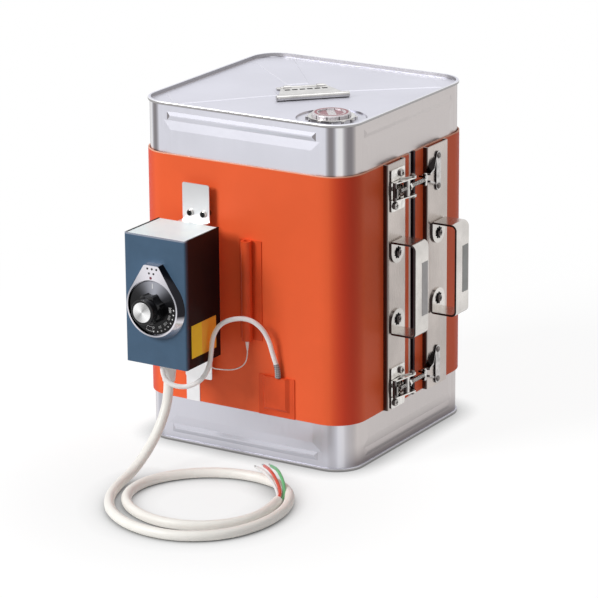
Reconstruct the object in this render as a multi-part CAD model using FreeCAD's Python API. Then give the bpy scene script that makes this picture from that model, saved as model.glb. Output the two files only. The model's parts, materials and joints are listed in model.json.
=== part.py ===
import FreeCAD, Part
import math
import os

# Square can heater: a silicone band heater clamped round an 18 litre square can.
# Millimetres, +Z up, origin at the middle of the can's base. The thermostat box is on
# the front, which faces -Y, and the latches and handles are on the right, which faces +X.

V = FreeCAD.Vector
X_AXIS = V(1, 0, 0)
Y_AXIS = V(0, 1, 0)
Z_AXIS = V(0, 0, 1)

# Clearances, the overlap of joined pieces, how far cutting shapes reach past, and rounds
fit_gap = 0.05
seat_gap = 0.2
running_gap = 0.08
overlap = 0.5
past = 5.0
edge_round = 0.8
corner_round = 2.0
bend_share = 0.45

# Can
can_side = 236.8
can_height = 349.0
can_corner = 28.0
can_sheet = 0.8
seam_height = 3.2
seam_proud = 1.8
seam_round = 1.1
seam_width = 3.0
lid_recess = 4.0
base_recess = 3.0
panel_rise = 1.2
panel_half_width = 89.0
panel_bevel = 9.0
panel_end_margin = 18.3
bead_rise = 1.1
bead_half_length = 85.0
bead_width = 8.6
bead_bevel = 3.6
bead_end_margin = 9.4
lid_rib_rise = 0.7
lid_rib_start = 30.0
lid_rib_end = 134.0
lid_rib_start_width = 21.0
lid_rib_end_width = 40.0
lid_rib_bevel = 1.6
lid_rib_angles = (45, 135, 225)
well_radius = 34.5
well_depth = 2.0

# Pour cap on the lid
cap_offset = 78.0
cap_radius = 19.0
cap_top_above_rim = 1.6
cap_dish_radius = 13.0
cap_dish_depth = 1.0
cap_round = 1.5
collar_radius = 23.0
collar_height = 4.2
collar_lugs = 12
collar_lug_radius = 2.2
collar_lug_height = 2.9

# Carry handle on the lid, lying towards the cap's corner
carry_pivot_back = 5.0
carry_reach = 40.0
carry_rod_radius = 1.5
carry_plate_thickness = 1.0
carry_hinge_length = 46.0
carry_grip_length = 74.0
carry_grip_radius = 3.0
carry_slots = 6
carry_slot_length = 5.0
carry_slot_width = 2.6
carry_slot_pitch = 7.6
carry_slot_at = 11.0
carry_grip_overhang = 2.0
carry_notch_side = 1.0
carry_notch_back = 1.2
saddle_length = 52.0
saddle_width = 11.0
saddle_sheet = 0.8
saddle_loop_width = 7.0
saddle_loop_offset = 17.0
saddle_bar_gap = 0.4
saddle_tongue_inset = 2.0

# Silicone heater band
band_bottom = 48.0
band_height = 250.0
band_thickness = 1.5
band_corner = 31.0
band_end_front = -0.8
band_end_gap = 6.0

# Sensor pocket on the band's front, and the probe in it
pocket_x = 10.1
pocket_bottom = 123.0
pocket_height = 101.0
pocket_roll_radius = 5.4
pocket_bore_radius = 2.6
pocket_left_flap = 5.2
pocket_right_flap = 9.0
pocket_flap_thickness = 1.0
pocket_neck_half = 3.2
probe_radius = 2.2
probe_length = 62.0
probe_cone_length = 10.4
probe_cone_tip = 0.8

# Square patch where the heater lead enters the band
patch_left = 20.0
patch_size = 41.0
patch_edge_thickness = 1.0
patch_crown = 3.0
patch_crown_margin = 5.0
patch_crown_bevel = 4.0

# Thermostat box
box_left = -82.5
box_width = 70.0
box_depth = 60.0
box_bottom = 108.0
box_height = 130.0
box_sheet = 1.2
box_corner = 1.8
chassis_inset = 0.6
flange_width = 9.0
cover_screw_inset = 14.0
label_back_margin = 8.0
label_length = 43.0
label_bottom_margin = 10.0
label_height = 33.0
label_thickness = 0.3

# Dial and thermostat
dial_x = -47.0
dial_z = 168.5
escutcheon_radius = 33.5
escutcheon_height = 7.2
escutcheon_flank = 4.2
escutcheon_tip_flank = 1.0
escutcheon_top_width = 18.6
escutcheon_top_rise = 43.5
escutcheon_tip_round = 3.0
escutcheon_floor = 2.2
skirt_radius = 27.0
skirt_thickness = 2.6
skirt_lift = 0.5
skirt_gap = 0.7
knob_radius = 15.0
knob_waist_radius = 12.6
knob_length = 19.0
knob_flutes = 8
knob_flute_radius = 9.0
knob_flute_bite = 2.0
knob_bevel = 1.6
knob_ring_length = 8.0
knob_cap_radius = 10.0
knob_cap_thickness = 1.0
knob_cap_proud = 0.3
knob_cap_round = 0.25
shaft_radius = 3.0
shaft_into_knob = 12.0
stat_width = 42.0
stat_height = 46.0
stat_depth = 30.0
stat_neck_radius = 5.0
block_length = 34.0
block_width = 15.0
block_height = 14.0
block_ways = 3
block_pitch = 10.0
block_hole_radius = 2.2
block_floor_gap = 9.0

# Hanger between the band and the box
strip_left = -65.0
strip_width = 15.4
strip_thickness = 1.0
strip_top = 272.0
bracket_left = -61.0
bracket_width = 31.0
bracket_sheet = 1.2
bracket_stand_off = 8.5
bracket_ledge = 10.2
bracket_flange = 22.0
upper_bracket_rise = 37.0
lower_bracket_drop = 33.0
bracket_screw_first = 9.3
bracket_screw_pitch = 15.3
bracket_screw_height = 7.4
stud_radius = 3.4
stud_hole_share = 0.7
bracket_screw_share = 0.5

# Cable gland and lead bushes under the box
gland_flange_radius = 8.4
gland_boot_length = 22.4
gland_tip_radius = 6.2
gland_neck_radius = 6.4
gland_nut_height = 5.0
bush_radius = 4.0
bush_length = 2.0
bush_neck = 3.0
bush_neck_reach = 2.0

# Clamping plates on the right side
front_plate_y = -53.8
front_plate_width = 34.6
rear_plate_y = 23.9
rear_plate_width = 40.6
plate_depth = 5.5
plate_sheet = 1.5
plate_corner = 2.0

# Lifting handles
handle_bottom = 126.0
handle_height = 95.0
handle_projection = 29.0
handle_width = 25.0
handle_sheet = 2.0
handle_bend = 6.0
handle_foot = 24.0
handle_foot_bend = 3.0
handle_screw_rise = 13.5
handle_screw_clear = 0.3
front_handle_y = -50.6
rear_handle_y = 30.6
handle_label_width = 11.0
handle_label_margin = 1.5
front_handle_label_height = 54.0
rear_handle_label_height = 48.0

# Pan head screws
screw_head_radius = 3.8
screw_head_height = 2.4
screw_head_round = 1.4
screw_tail = 1.5
screw_shank_radius = 2.0
screw_recess_depth = 1.0
screw_recess_width = 1.1
screw_recess_length = 4.6
handle_nut_radius = 3.9
handle_nut_height = 2.4

# Toggle latches
latch_heights = (271.0, 70.0)
base_y = -50.0
base_width = 26.0
base_half_height = 21.0
base_sheet = 1.5
base_screw_points = ((-32.0, 15.4), (-43.0, -15.4))
pivot_x_above_plate = 8.0
pivot_y = -20.0
pivot_radius = 1.6
pivot_boss_radius = 3.6
ear_sheet = 1.2
ear_back = -37.0
pivot_head_radius = 3.0
pivot_head_height = 2.2
pivot_tail_radius = 2.4
pivot_tail_height = 1.0
lever_inner_half = 8.1
lever_sheet = 1.2
lever_tip_y = -47.6
lever_tip_above_plate = 4.4
lever_tip_radius = 2.6
lever_lip_length = 5.0
lever_lip_slope = 0.8
lever_lip_sheet = 1.3
lever_lip_share = 0.6
trunnion_in = 1.6
trunnion_back = 9.0
trunnion_radius = 3.0
trunnion_pin_radius = 1.5
link_radius = 2.0
link_tail = 12.5
link_reach = 36.0
link_bevel = 0.5
tbar_radius = 2.2
tbar_half_length = 6.5
tbar_round = 1.3
link_nut_radius = 4.0
link_nut_height = 3.2
keeper_sheet = 1.8
keeper_prong_gap = 0.7
keeper_lip_gap = 0.5
keeper_floor_gap = 0.4
keeper_lip_height = 5.4
keeper_prong_height = 1.9
keeper_apex_y = 14.5
keeper_wall_height = 6.4
keeper_foot_y = 43.0
keeper_foot_half = 15.5
keeper_foot_radius = 4.6
keeper_foot_sheet = 1.6
keeper_turn_up = 3.0
keeper_crest_length = 8.0
keeper_dip_length = 13.0
keeper_leg_stop = 1.0
keeper_tie_back = 1.5
keeper_tie_length = 5.0
rivet_radius = 1.7
rivet_head_radius = 3.2
rivet_head_height = 1.9

# Cords. Each route is a list of points from the exit to the far end.
cable_radius = 5.0
cable_points = [
    (-48.5, -178.0, 98.0),
    (-48.5, -178.0, 74.0),
    (-49.0, -188.5, 50.0),
    (-51.0, -208.5, 27.0),
    (-54.0, -235.0, 9.0),
    (-51.0, -267.0, 5.1),
    (-39.0, -299.0, 5.1),
    (-15.0, -330.0, 5.1),
    (24.0, -351.0, 5.1),
    (70.0, -352.0, 5.1),
    (109.0, -326.0, 5.1),
    (126.0, -282.0, 5.1),
    (123.0, -235.0, 5.1),
    (102.0, -196.0, 5.1),
    (66.0, -178.0, 5.1),
    (24.0, -180.0, 5.1),
    (-13.0, -203.0, 5.1),
    (-35.0, -240.0, 5.1),
    (-32.0, -281.0, 5.1),
    (-8.0, -311.0, 5.1),
    (34.0, -328.0, 5.1),
    (76.0, -320.0, 5.1),
    (104.0, -292.0, 5.1),
    (112.0, -255.0, 5.1),
    (104.5, -224.0, 5.1),
]
core_radius = 1.6
core_red_points = [
    (104.5, -223.9, 7.3),
    (102.2, -214.4, 7.3),
    (94.0, -205.0, 13.0),
    (81.0, -193.5, 17.6),
    (67.0, -180.0, 16.8),
    (54.5, -166.0, 12.0),
    (43.0, -153.0, 8.0),
]
core_green_points = [
    (106.6, -223.4, 4.0),
    (104.3, -213.9, 4.0),
    (97.5, -200.5, 12.0),
    (85.5, -188.5, 17.4),
    (72.0, -174.5, 16.2),
    (59.5, -161.5, 11.5),
    (48.5, -149.5, 8.0),
]
core_white_points = [
    (102.4, -224.4, 4.0),
    (99.9, -214.1, 4.0),
    (89.5, -205.0, 12.5),
    (75.5, -196.0, 17.2),
    (61.5, -184.0, 16.2),
    (49.5, -171.0, 11.0),
    (38.0, -159.0, 7.2),
]
lead_radius = 2.4
lead_points = [
    (-46.5, -192.0, 106.6),
    (-46.5, -192.0, 97.3),
    (-41.6, -190.6, 89.5),
    (-33.4, -188.2, 85.7),
    (-22.5, -182.5, 85.5),
    (-12.5, -174.5, 91.5),
    (-7.8, -167.5, 104.0),
    (-7.2, -164.7, 119.0),
    (-7.2, -162.2, 133.5),
    (-2.2, -157.2, 145.6),
    (8.8, -150.5, 151.4),
    (22.3, -143.0, 151.4),
    (32.6, -136.3, 142.6),
    (38.0, -131.3, 128.6),
    (40.2, -129.0, 116.0),
    (43.0, -127.0, 104.0),
]
sleeve_points = [
    (43.0, -127.0, 104.0),
    (44.75, -125.75, 96.5),
    (44.0, -125.2, 89.8),
]
sleeve_radius = 2.8
sensor_lead_radius = 0.6
sensor_lead_end = [
    (10.1, -126.7, 105.0),
    (7.5, -129.5, 97.2),
    (0.5, -134.5, 93.2),
    (-8.0, -141.0, 93.4),
    (-19.5, -152.0, 96.9),
    (-19.5, -152.0, 106.6),
]

# Values that follow from the ones above
body_half = can_side / 2
panel_face = body_half + panel_rise
seam_half = body_half + seam_proud
rim_inner_half = seam_half - seam_width
lid_z = can_height - lid_recess
band_inner = panel_face + seat_gap
band_face = band_inner + band_thickness
band_top = band_bottom + band_height
band_end_rear = band_end_front + band_end_gap
plate_face = band_face + plate_depth
bracket_face = -(band_face + bracket_stand_off)
box_back = bracket_face - bracket_ledge
box_front = box_back - box_depth
box_right = box_left + box_width
box_top = box_bottom + box_height
chassis_top = box_top - chassis_inset
chassis_bottom = box_bottom + chassis_inset
gland_x, gland_y, cable_start_z = cable_points[0]
handle_top = handle_bottom + handle_height
pivot_x = plate_face + pivot_x_above_plate
trunnion_x = pivot_x - trunnion_in
trunnion_y = pivot_y - trunnion_back
tbar_y = trunnion_y + link_reach
skirt_front = box_front - escutcheon_floor - skirt_lift - skirt_thickness


# Plain shapes
def slab(x0, x1, y0, y1, z0, z1):
    return Part.makeBox(x1 - x0, y1 - y0, z1 - z0, V(x0, y0, z0))


def rod(base, axis, radius, length):
    return Part.makeCylinder(radius, length, base, axis)


def prism(points, direction):
    wire = Part.makePolygon(points + [points[0]])
    return Part.Face(wire).extrude(direction)


def upright_edges(shape):
    found = []
    for edge in shape.Edges:
        a = edge.Vertexes[0].Point
        b = edge.Vertexes[-1].Point
        if math.hypot(a.x - b.x, a.y - b.y) < 0.001 and abs(a.z - b.z) > 0.001:
            found.append(edge)
    return found


def edges_on_plane(shape, axis, value):
    found = []
    for edge in shape.Edges:
        ends = [getattr(vertex.Point, axis) for vertex in edge.Vertexes]
        centre = getattr(edge.CenterOfMass, axis)
        if max(abs(end - value) for end in ends + [centre]) < 0.001:
            found.append(edge)
    return found


def rounded_prism(half, corner, z0, z1):
    block = slab(-half, half, -half, half, z0, z1)
    return block.makeFillet(corner, upright_edges(block))


def placed(shape, base, axis):
    moved = shape.copy()
    moved.Placement = FreeCAD.Placement(base, FreeCAD.Rotation(Z_AXIS, axis))
    return moved


def dome(radius, height):
    ball_radius = (radius * radius + height * height) / (2 * height)
    ball = Part.makeSphere(ball_radius, V(0, 0, height - ball_radius))
    return ball.common(rod(V(0, 0, 0), Z_AXIS, radius, height + past))


def screw(seat, axis, shank_length):
    head = rod(V(0, 0, 0), Z_AXIS, screw_head_radius, screw_head_height)
    rim = edges_on_plane(head, "z", screw_head_height)
    head = head.makeFillet(screw_head_round, rim)
    shank = rod(V(0, 0, -shank_length), Z_AXIS, screw_shank_radius, shank_length + overlap)
    half_long = screw_recess_length / 2
    half_wide = screw_recess_width / 2
    low = screw_head_height - screw_recess_depth
    high = screw_head_height + past
    cross = slab(-half_long, half_long, -half_wide, half_wide, low, high)
    cross = cross.fuse(slab(-half_wide, half_wide, -half_long, half_long, low, high))
    return placed(head.fuse(shank).cut(cross).removeSplitter(), seat, axis)


def save(name, shape):
    if len(shape.Solids) == 1:
        shape = shape.Solids[0]
    shape.exportStep("parts/" + name + ".step")


def group(solids):
    return Part.makeCompound(solids)


# Cords: straight runs joined by tangent arcs
def cord_path(points):
    corners = [V(*point) for point in points]
    radii = []
    edges = []
    last = corners[0]
    for before, corner, after in zip(corners, corners[1:], corners[2:]):
        back = before.sub(corner)
        ahead = after.sub(corner)
        shorter = min(back.Length, ahead.Length)
        back.normalize()
        ahead.normalize()
        half_turn = (math.pi - back.getAngle(ahead)) / 2
        reach = bend_share * shorter
        radii.append(reach / math.tan(half_turn))
        start = corner.add(V(back).multiply(reach))
        end = corner.add(V(ahead).multiply(reach))
        middle = V(back).add(ahead)
        middle.normalize()
        inward = radii[-1] / math.cos(half_turn) - radii[-1]
        edges.append(Part.makeLine(last, start))
        edges.append(Part.Arc(start, corner.add(middle.multiply(inward)), end).toShape())
        last = end
    edges.append(Part.makeLine(last, corners[-1]))
    return Part.Wire(edges), radii


def cord(name, points, radius):
    path, radii = cord_path(points)
    start = V(*points[0])
    direction = V(*points[1]).sub(start)
    section = Part.Wire(Part.makeCircle(radius, start, direction))
    tube = path.makePipeShell([section], True, False)
    ideal = math.pi * radius * radius * path.Length
    print(
        "%s: length %.1f mm, smallest radius %.1f mm, volume %.4f of section times length"
        % (name, path.Length, min(radii), tube.Volume / ideal)
    )
    return tube


# Can
def raised_field(half_width, z_low, z_high, bevel, rise, inset):
    grow = bevel * overlap / rise

    def outline(half, low, high, y):
        corners = [V(-half, y, low), V(half, y, low), V(half, y, high), V(-half, y, high)]
        return Part.makePolygon(corners + [corners[0]])

    wall = body_half - inset
    foot = outline(half_width + grow, z_low - grow, z_high + grow, -(wall - overlap))
    crest = outline(half_width - bevel, z_low + bevel, z_high - bevel, -(wall + rise))
    return Part.makeLoft([foot, crest], True, True)


def can_walls(inset, z0, z1):
    walls = rounded_prism(body_half - inset, can_corner - inset, z0, z1)
    panel_low = panel_end_margin
    panel_high = can_height - panel_end_margin
    fields = [raised_field(panel_half_width, panel_low, panel_high, panel_bevel, panel_rise, inset)]
    for low in (bead_end_margin, can_height - bead_end_margin - bead_width):
        high = low + bead_width
        fields.append(raised_field(bead_half_length, low, high, bead_bevel, bead_rise, inset))
    turned = []
    for field in fields:
        for quarter in range(4):
            side = field.copy()
            side.rotate(V(0, 0, 0), Z_AXIS, 90 * quarter)
            turned.append(side)
    return walls.fuse(turned)


def seam(z0):
    ring = rounded_prism(seam_half, can_corner + seam_proud, z0, z0 + seam_height)
    for z in (z0, z0 + seam_height):
        ring = ring.makeFillet(seam_round, edges_on_plane(ring, "z", z))
    return ring


def lid_rib(angle):
    def outline(extra, z):
        start = lid_rib_start - extra
        end = lid_rib_end + extra
        near = lid_rib_start_width / 2 + extra
        far = lid_rib_end_width / 2 + extra
        corners = [V(start, -near, z), V(end, -far, z), V(end, far, z), V(start, near, z)]
        return Part.makePolygon(corners + [corners[0]])

    foot = outline(lid_rib_bevel, lid_z - overlap)
    crest = outline(0, lid_z + lid_rib_rise)
    rib = Part.makeLoft([foot, crest], True, True)
    rib.rotate(V(0, 0, 0), Z_AXIS, angle)
    return rib


def make_can():
    mid = seam_height / 2
    outer = can_walls(0, mid, can_height - mid)
    outer = outer.fuse([seam(0), seam(can_height - seam_height)])
    rim_corner = can_corner + seam_proud - seam_width
    outer = outer.cut(rounded_prism(rim_inner_half, rim_corner, lid_z, can_height + past))
    outer = outer.cut(rounded_prism(rim_inner_half, rim_corner, -past, base_recess))
    lid_area = rounded_prism(rim_inner_half, rim_corner, lid_z - past, can_height)
    ribs = [lid_rib(angle).common(lid_area) for angle in lid_rib_angles]
    outer = outer.fuse(ribs)
    well_floor = lid_z - well_depth
    cap_centre = V(cap_offset, -cap_offset, well_floor)
    outer = outer.cut(rod(cap_centre, Z_AXIS, well_radius, well_depth + past))
    inner = can_walls(can_sheet, base_recess + can_sheet, lid_z - can_sheet)
    pan = rod(cap_centre.sub(V(0, 0, can_sheet)), Z_AXIS, well_radius + can_sheet, well_depth + past)
    return outer.cut(inner.cut(pan))


def make_cap():
    floor = V(cap_offset, -cap_offset, lid_z - well_depth)
    top = can_height + cap_top_above_rim
    cap = rod(floor, Z_AXIS, cap_radius, top - floor.z)
    cap = cap.makeFillet(cap_round, edges_on_plane(cap, "z", top))
    dish = rod(V(floor.x, floor.y, top - cap_dish_depth), Z_AXIS, cap_dish_radius, past)
    return cap.cut(dish)


def make_collar():
    floor = V(cap_offset, -cap_offset, lid_z - well_depth)
    collar = rod(floor, Z_AXIS, collar_radius, collar_height)
    collar = collar.makeFillet(edge_round, edges_on_plane(collar, "z", floor.z + collar_height))
    lugs = []
    for number in range(collar_lugs):
        angle = 2 * math.pi * number / collar_lugs
        spot = V(math.cos(angle), math.sin(angle), 0).multiply(collar_radius)
        lugs.append(rod(floor.add(spot), Z_AXIS, collar_lug_radius, collar_lug_height))
    collar = collar.fuse(lugs).removeSplitter()
    return collar.cut(rod(floor, Z_AXIS, cap_radius + seat_gap, collar_height + past))


# The carry handle is drawn with its pivot along Y and its grip towards +X, then turned
carry_axis_z = lid_z + lid_rib_rise + saddle_sheet + carry_rod_radius + seat_gap


def turned_to_cap(shape):
    moved = shape.copy()
    moved.rotate(V(0, 0, 0), Z_AXIS, -45)
    return moved


def make_carry_handle():
    half_hinge = carry_hinge_length / 2
    half_grip = carry_grip_length / 2
    pivot = -carry_pivot_back
    grip = pivot + carry_reach
    plate_low = carry_axis_z - carry_plate_thickness / 2
    outline = [
        V(pivot, -half_hinge, plate_low),
        V(grip, -half_grip + carry_grip_overhang, plate_low),
        V(grip, half_grip - carry_grip_overhang, plate_low),
        V(pivot, half_hinge, plate_low),
    ]
    plate = prism(outline, V(0, 0, carry_plate_thickness))
    bar = rod(V(grip, -half_grip, carry_axis_z), Y_AXIS, carry_grip_radius, carry_grip_length)
    ends = edges_on_plane(bar, "y", half_grip) + edges_on_plane(bar, "y", -half_grip)
    bar = bar.makeFillet(edge_round, ends)
    pin = rod(V(pivot, -half_hinge, carry_axis_z), Y_AXIS, carry_rod_radius, carry_hinge_length)
    handle = plate.fuse([bar, pin])
    low = plate_low - past
    high = plate_low + past
    first = -carry_slot_pitch * (carry_slots - 1) / 2
    x0 = pivot + carry_slot_at - carry_slot_width / 2
    for number in range(carry_slots):
        y0 = first + carry_slot_pitch * number - carry_slot_length / 2
        slot = slab(x0, x0 + carry_slot_width, y0, y0 + carry_slot_length, low, high)
        handle = handle.cut(slot)
    notch_half = saddle_loop_width / 2 + carry_notch_side
    notch_end = pivot + carry_rod_radius + saddle_sheet + carry_notch_back
    for y in (-saddle_loop_offset, saddle_loop_offset):
        notch = slab(pivot - past, notch_end, y - notch_half, y + notch_half, low, high)
        ring = rod(V(pivot, y - notch_half, carry_axis_z), Y_AXIS, carry_rod_radius, 2 * notch_half)
        handle = handle.cut(notch.cut(ring))
    return turned_to_cap(handle.removeSplitter())


def make_saddle():
    pivot = -carry_pivot_back
    floor = lid_z + lid_rib_rise
    inner = carry_rod_radius + running_gap
    outer = inner + saddle_sheet
    back = pivot - saddle_width
    half = saddle_length / 2
    front = pivot - outer - saddle_bar_gap
    strip = slab(back, front, -half, half, lid_z, floor + saddle_sheet)
    strip = strip.makeFillet(corner_round, upright_edges(strip))
    loops = []
    for y in (-saddle_loop_offset, saddle_loop_offset):
        start = V(pivot, y - saddle_loop_width / 2, carry_axis_z)
        loop = rod(start, Y_AXIS, outer, saddle_loop_width)
        x0 = back + saddle_tongue_inset
        z0 = carry_axis_z - outer
        tongue = slab(x0, pivot, start.y, start.y + saddle_loop_width, z0, z0 + saddle_sheet)
        loops.append(loop.fuse(tongue))
    saddle = strip.fuse(loops)
    for y in (-saddle_loop_offset, saddle_loop_offset):
        start = V(pivot, y - saddle_loop_width, carry_axis_z)
        saddle = saddle.cut(rod(start, Y_AXIS, inner, 2 * saddle_loop_width))
    return turned_to_cap(saddle.removeSplitter())


# Heater band and what is moulded on it
def make_band():
    outer = rounded_prism(band_face, band_corner + band_thickness, band_bottom, band_top)
    low = band_bottom - past
    high = band_top + past
    inner = rounded_prism(band_inner, band_corner, low, high)
    gap = slab(band_inner - past, band_face + past, band_end_front, band_end_rear, low, high)
    return outer.cut(inner).cut(gap)


def make_sensor_pocket():
    roll_y = -(band_face + pocket_roll_radius)
    top = pocket_bottom + pocket_height
    left = pocket_x - pocket_roll_radius - pocket_left_flap
    right = pocket_x + pocket_roll_radius + pocket_right_flap
    flap_front = -(band_face + pocket_flap_thickness)
    flap = slab(left, right, flap_front, -band_face, pocket_bottom, top)
    roll = rod(V(pocket_x, roll_y, pocket_bottom), Z_AXIS, pocket_roll_radius, pocket_height)
    neck_left = pocket_x - pocket_neck_half
    neck_right = pocket_x + pocket_neck_half
    neck = slab(neck_left, neck_right, roll_y, -band_face, pocket_bottom, top)
    start = V(pocket_x, roll_y, pocket_bottom - past)
    bore = rod(start, Z_AXIS, pocket_bore_radius, pocket_height + 2 * past)
    return flap.fuse([roll, neck]).cut(bore).removeSplitter()


probe_y = -(band_face + pocket_roll_radius)
cone_tip = V(pocket_x, probe_y, pocket_bottom - probe_cone_length)


def make_probe():
    tip = V(pocket_x, probe_y, pocket_bottom + probe_length)
    body = rod(V(pocket_x, probe_y, pocket_bottom), Z_AXIS, probe_radius, probe_length)
    body = body.makeFillet(edge_round, edges_on_plane(body, "z", tip.z))
    cone = Part.makeCone(probe_cone_tip, probe_radius, probe_cone_length, cone_tip, Z_AXIS)
    return body.fuse(cone).removeSplitter()


def make_patch():
    x0 = patch_left
    x1 = patch_left + patch_size
    z0 = band_bottom
    z1 = band_bottom + patch_size
    front = -(band_face + patch_edge_thickness)
    sheet = slab(x0, x1, front, -band_face, z0, z1)

    def outline(margin, y):
        corners = [
            V(x0 + margin, y, z0 + margin),
            V(x1 - margin, y, z0 + margin),
            V(x1 - margin, y, z1),
            V(x0 + margin, y, z1),
        ]
        return Part.makePolygon(corners + [corners[0]])

    foot = outline(patch_crown_margin, front + overlap)
    crest = outline(patch_crown_margin + patch_crown_bevel, front - patch_crown)
    crown = Part.makeLoft([foot, crest], True, True)
    return sheet.fuse(crown).removeSplitter()


# Hanger
def make_strip():
    front = -(band_face + strip_thickness)
    return slab(strip_left, strip_left + strip_width, front, -band_face, band_bottom, strip_top)


def make_bracket(level, reach, up):
    """Plate on the band's side, a ledge on the box and a flange down the box's back."""
    sign = 1 if up else -1
    left = bracket_left
    right = bracket_left + bracket_width
    back = bracket_face + bracket_sheet

    def leaf(y0, y1, z0, z1):
        return slab(left, right, y0, y1, min(z0, z1), max(z0, z1))

    inside = level - sign * bracket_sheet
    end = level + sign * reach
    ledge = leaf(box_back, back, level, inside)
    wall = leaf(bracket_face, back, inside, end)
    flange = leaf(box_back, box_back + bracket_sheet, level, level - sign * bracket_flange)
    middle = (bracket_face + back) / 2
    ends = edges_on_plane(wall, "z", end)
    corners = [edge for edge in ends if abs(edge.CenterOfMass.y - middle) < 0.01]
    wall = wall.makeFillet(corner_round, corners)
    bracket = wall.fuse([ledge, flange]).removeSplitter()
    for x in bracket_screw_places():
        centre = V(x, bracket_face - past, level + sign * bracket_screw_height)
        hole = rod(centre, Y_AXIS, screw_shank_radius + fit_gap, bracket_sheet + 2 * past)
        bracket = bracket.cut(hole)
    return bracket


def bracket_screw_places():
    first = bracket_left + bracket_screw_first
    return (first, first + bracket_screw_pitch)


def bracket_screw_levels():
    return (chassis_top + bracket_screw_height, chassis_bottom - bracket_screw_height)


def make_studs():
    studs = []
    back = bracket_face + bracket_sheet
    for z in bracket_screw_levels():
        for x in bracket_screw_places():
            on_strip = strip_left < x < strip_left + strip_width
            seat = -(band_face + strip_thickness) if on_strip else -band_face
            stud = rod(V(x, back, z), Y_AXIS, stud_radius, seat - back)
            start = V(x, back - past, z)
            depth = (seat - back) * stud_hole_share
            hole = rod(start, Y_AXIS, screw_shank_radius + fit_gap, depth + past)
            studs.append(stud.cut(hole))
    return group(studs)


def make_bracket_screws():
    screws = []
    length = bracket_sheet + (bracket_stand_off - bracket_sheet) * bracket_screw_share
    for z in bracket_screw_levels():
        for x in bracket_screw_places():
            screws.append(screw(V(x, bracket_face, z), V(0, -1, 0), length))
    return group(screws)


# Thermostat box
def make_cover():
    outer = slab(box_left, box_right, box_front, box_back, box_bottom, box_top)
    uprights = upright_edges(outer)
    corners = [edge for edge in uprights if abs(edge.CenterOfMass.y - box_front) < 0.001]
    outer = outer.makeFillet(box_corner, corners)
    inner = slab(
        box_left + box_sheet,
        box_right - box_sheet,
        box_front + box_sheet,
        box_back + past,
        box_bottom - past,
        box_top + past,
    )
    cover = outer.cut(inner)
    flange_back = box_back - box_sheet
    flange_front = flange_back - box_sheet
    low = chassis_bottom + box_sheet + seat_gap
    high = chassis_top - box_sheet - seat_gap
    reach = box_sheet + flange_width
    seat = box_sheet / 2
    left_flange = slab(box_left + seat, box_left + reach, flange_front, flange_back, low, high)
    right_flange = slab(box_right - reach, box_right - seat, flange_front, flange_back, low, high)
    cover = cover.fuse([left_flange, right_flange]).removeSplitter()
    return cover.cut(cover_screw_holes() + [dial_hole(stat_neck_radius + fit_gap)])


def dial_hole(radius):
    """Cutting rod on the dial's axis, through all that lies in front of the thermostat."""
    start = V(dial_x, skirt_front - past, dial_z)
    return rod(start, Y_AXIS, radius, box_front + box_sheet + overlap - start.y)


def cover_screw_places():
    places = []
    inset = box_sheet + flange_width / 2
    for x in (box_left + inset, box_right - inset):
        for z in (box_bottom + cover_screw_inset, box_top - cover_screw_inset):
            places.append(V(x, box_back, z))
    return places


def cover_screw_holes():
    holes = []
    for place in cover_screw_places():
        start = place.sub(V(0, 2 * box_sheet + past, 0))
        holes.append(rod(start, Y_AXIS, screw_shank_radius + fit_gap, 2 * box_sheet + 2 * past))
    return holes


def make_chassis():
    left = box_left + box_sheet + seat_gap
    right = box_right - box_sheet - seat_gap
    front = box_front + box_sheet + seat_gap
    outer = slab(left, right, front, box_back, chassis_bottom, chassis_top)
    low = chassis_bottom + box_sheet
    high = chassis_top - box_sheet
    inner = slab(left - past, right + past, front - past, box_back - box_sheet, low, high)
    holes = cover_screw_holes()
    start = V(gland_x, gland_y, chassis_bottom - past)
    holes.append(rod(start, Z_AXIS, gland_neck_radius + fit_gap, box_sheet + 2 * past))
    for x, y in bush_places():
        start = V(x, y, chassis_bottom - past)
        holes.append(rod(start, Z_AXIS, bush_neck + fit_gap, box_sheet + 2 * past))
    return outer.cut(inner).cut(holes)


def bush_places():
    return (lead_points[0][:2], sensor_lead_end[-1][:2])


def make_cover_screws():
    screws = []
    for place in cover_screw_places():
        screws.append(screw(place, Y_AXIS, 2 * box_sheet + screw_tail))
    return group(screws)


def make_box_label():
    y1 = box_back - label_back_margin
    z0 = box_bottom + label_bottom_margin
    x1 = box_right + label_thickness
    return slab(box_right, x1, y1 - label_length, y1, z0, z0 + label_height)


def teardrop(radius, top_half, rise, y):
    """Face of a circle joined by tangents to a short flat top."""
    centre = V(dial_x, y, dial_z)
    distance = math.hypot(top_half, rise)
    lean = math.atan2(rise, top_half) - math.acos(radius / distance)
    touch_right = centre.add(V(radius * math.cos(lean), 0, radius * math.sin(lean)))
    touch_left = centre.add(V(-radius * math.cos(lean), 0, radius * math.sin(lean)))
    top_right = centre.add(V(top_half, 0, rise))
    top_left = centre.add(V(-top_half, 0, rise))
    bottom = centre.add(V(0, 0, -radius))
    edges = [
        Part.Arc(touch_left, bottom, touch_right).toShape(),
        Part.makeLine(touch_right, top_right),
        Part.makeLine(top_right, top_left),
        Part.makeLine(top_left, touch_left),
    ]
    return Part.Face(Part.Wire(edges))


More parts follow.
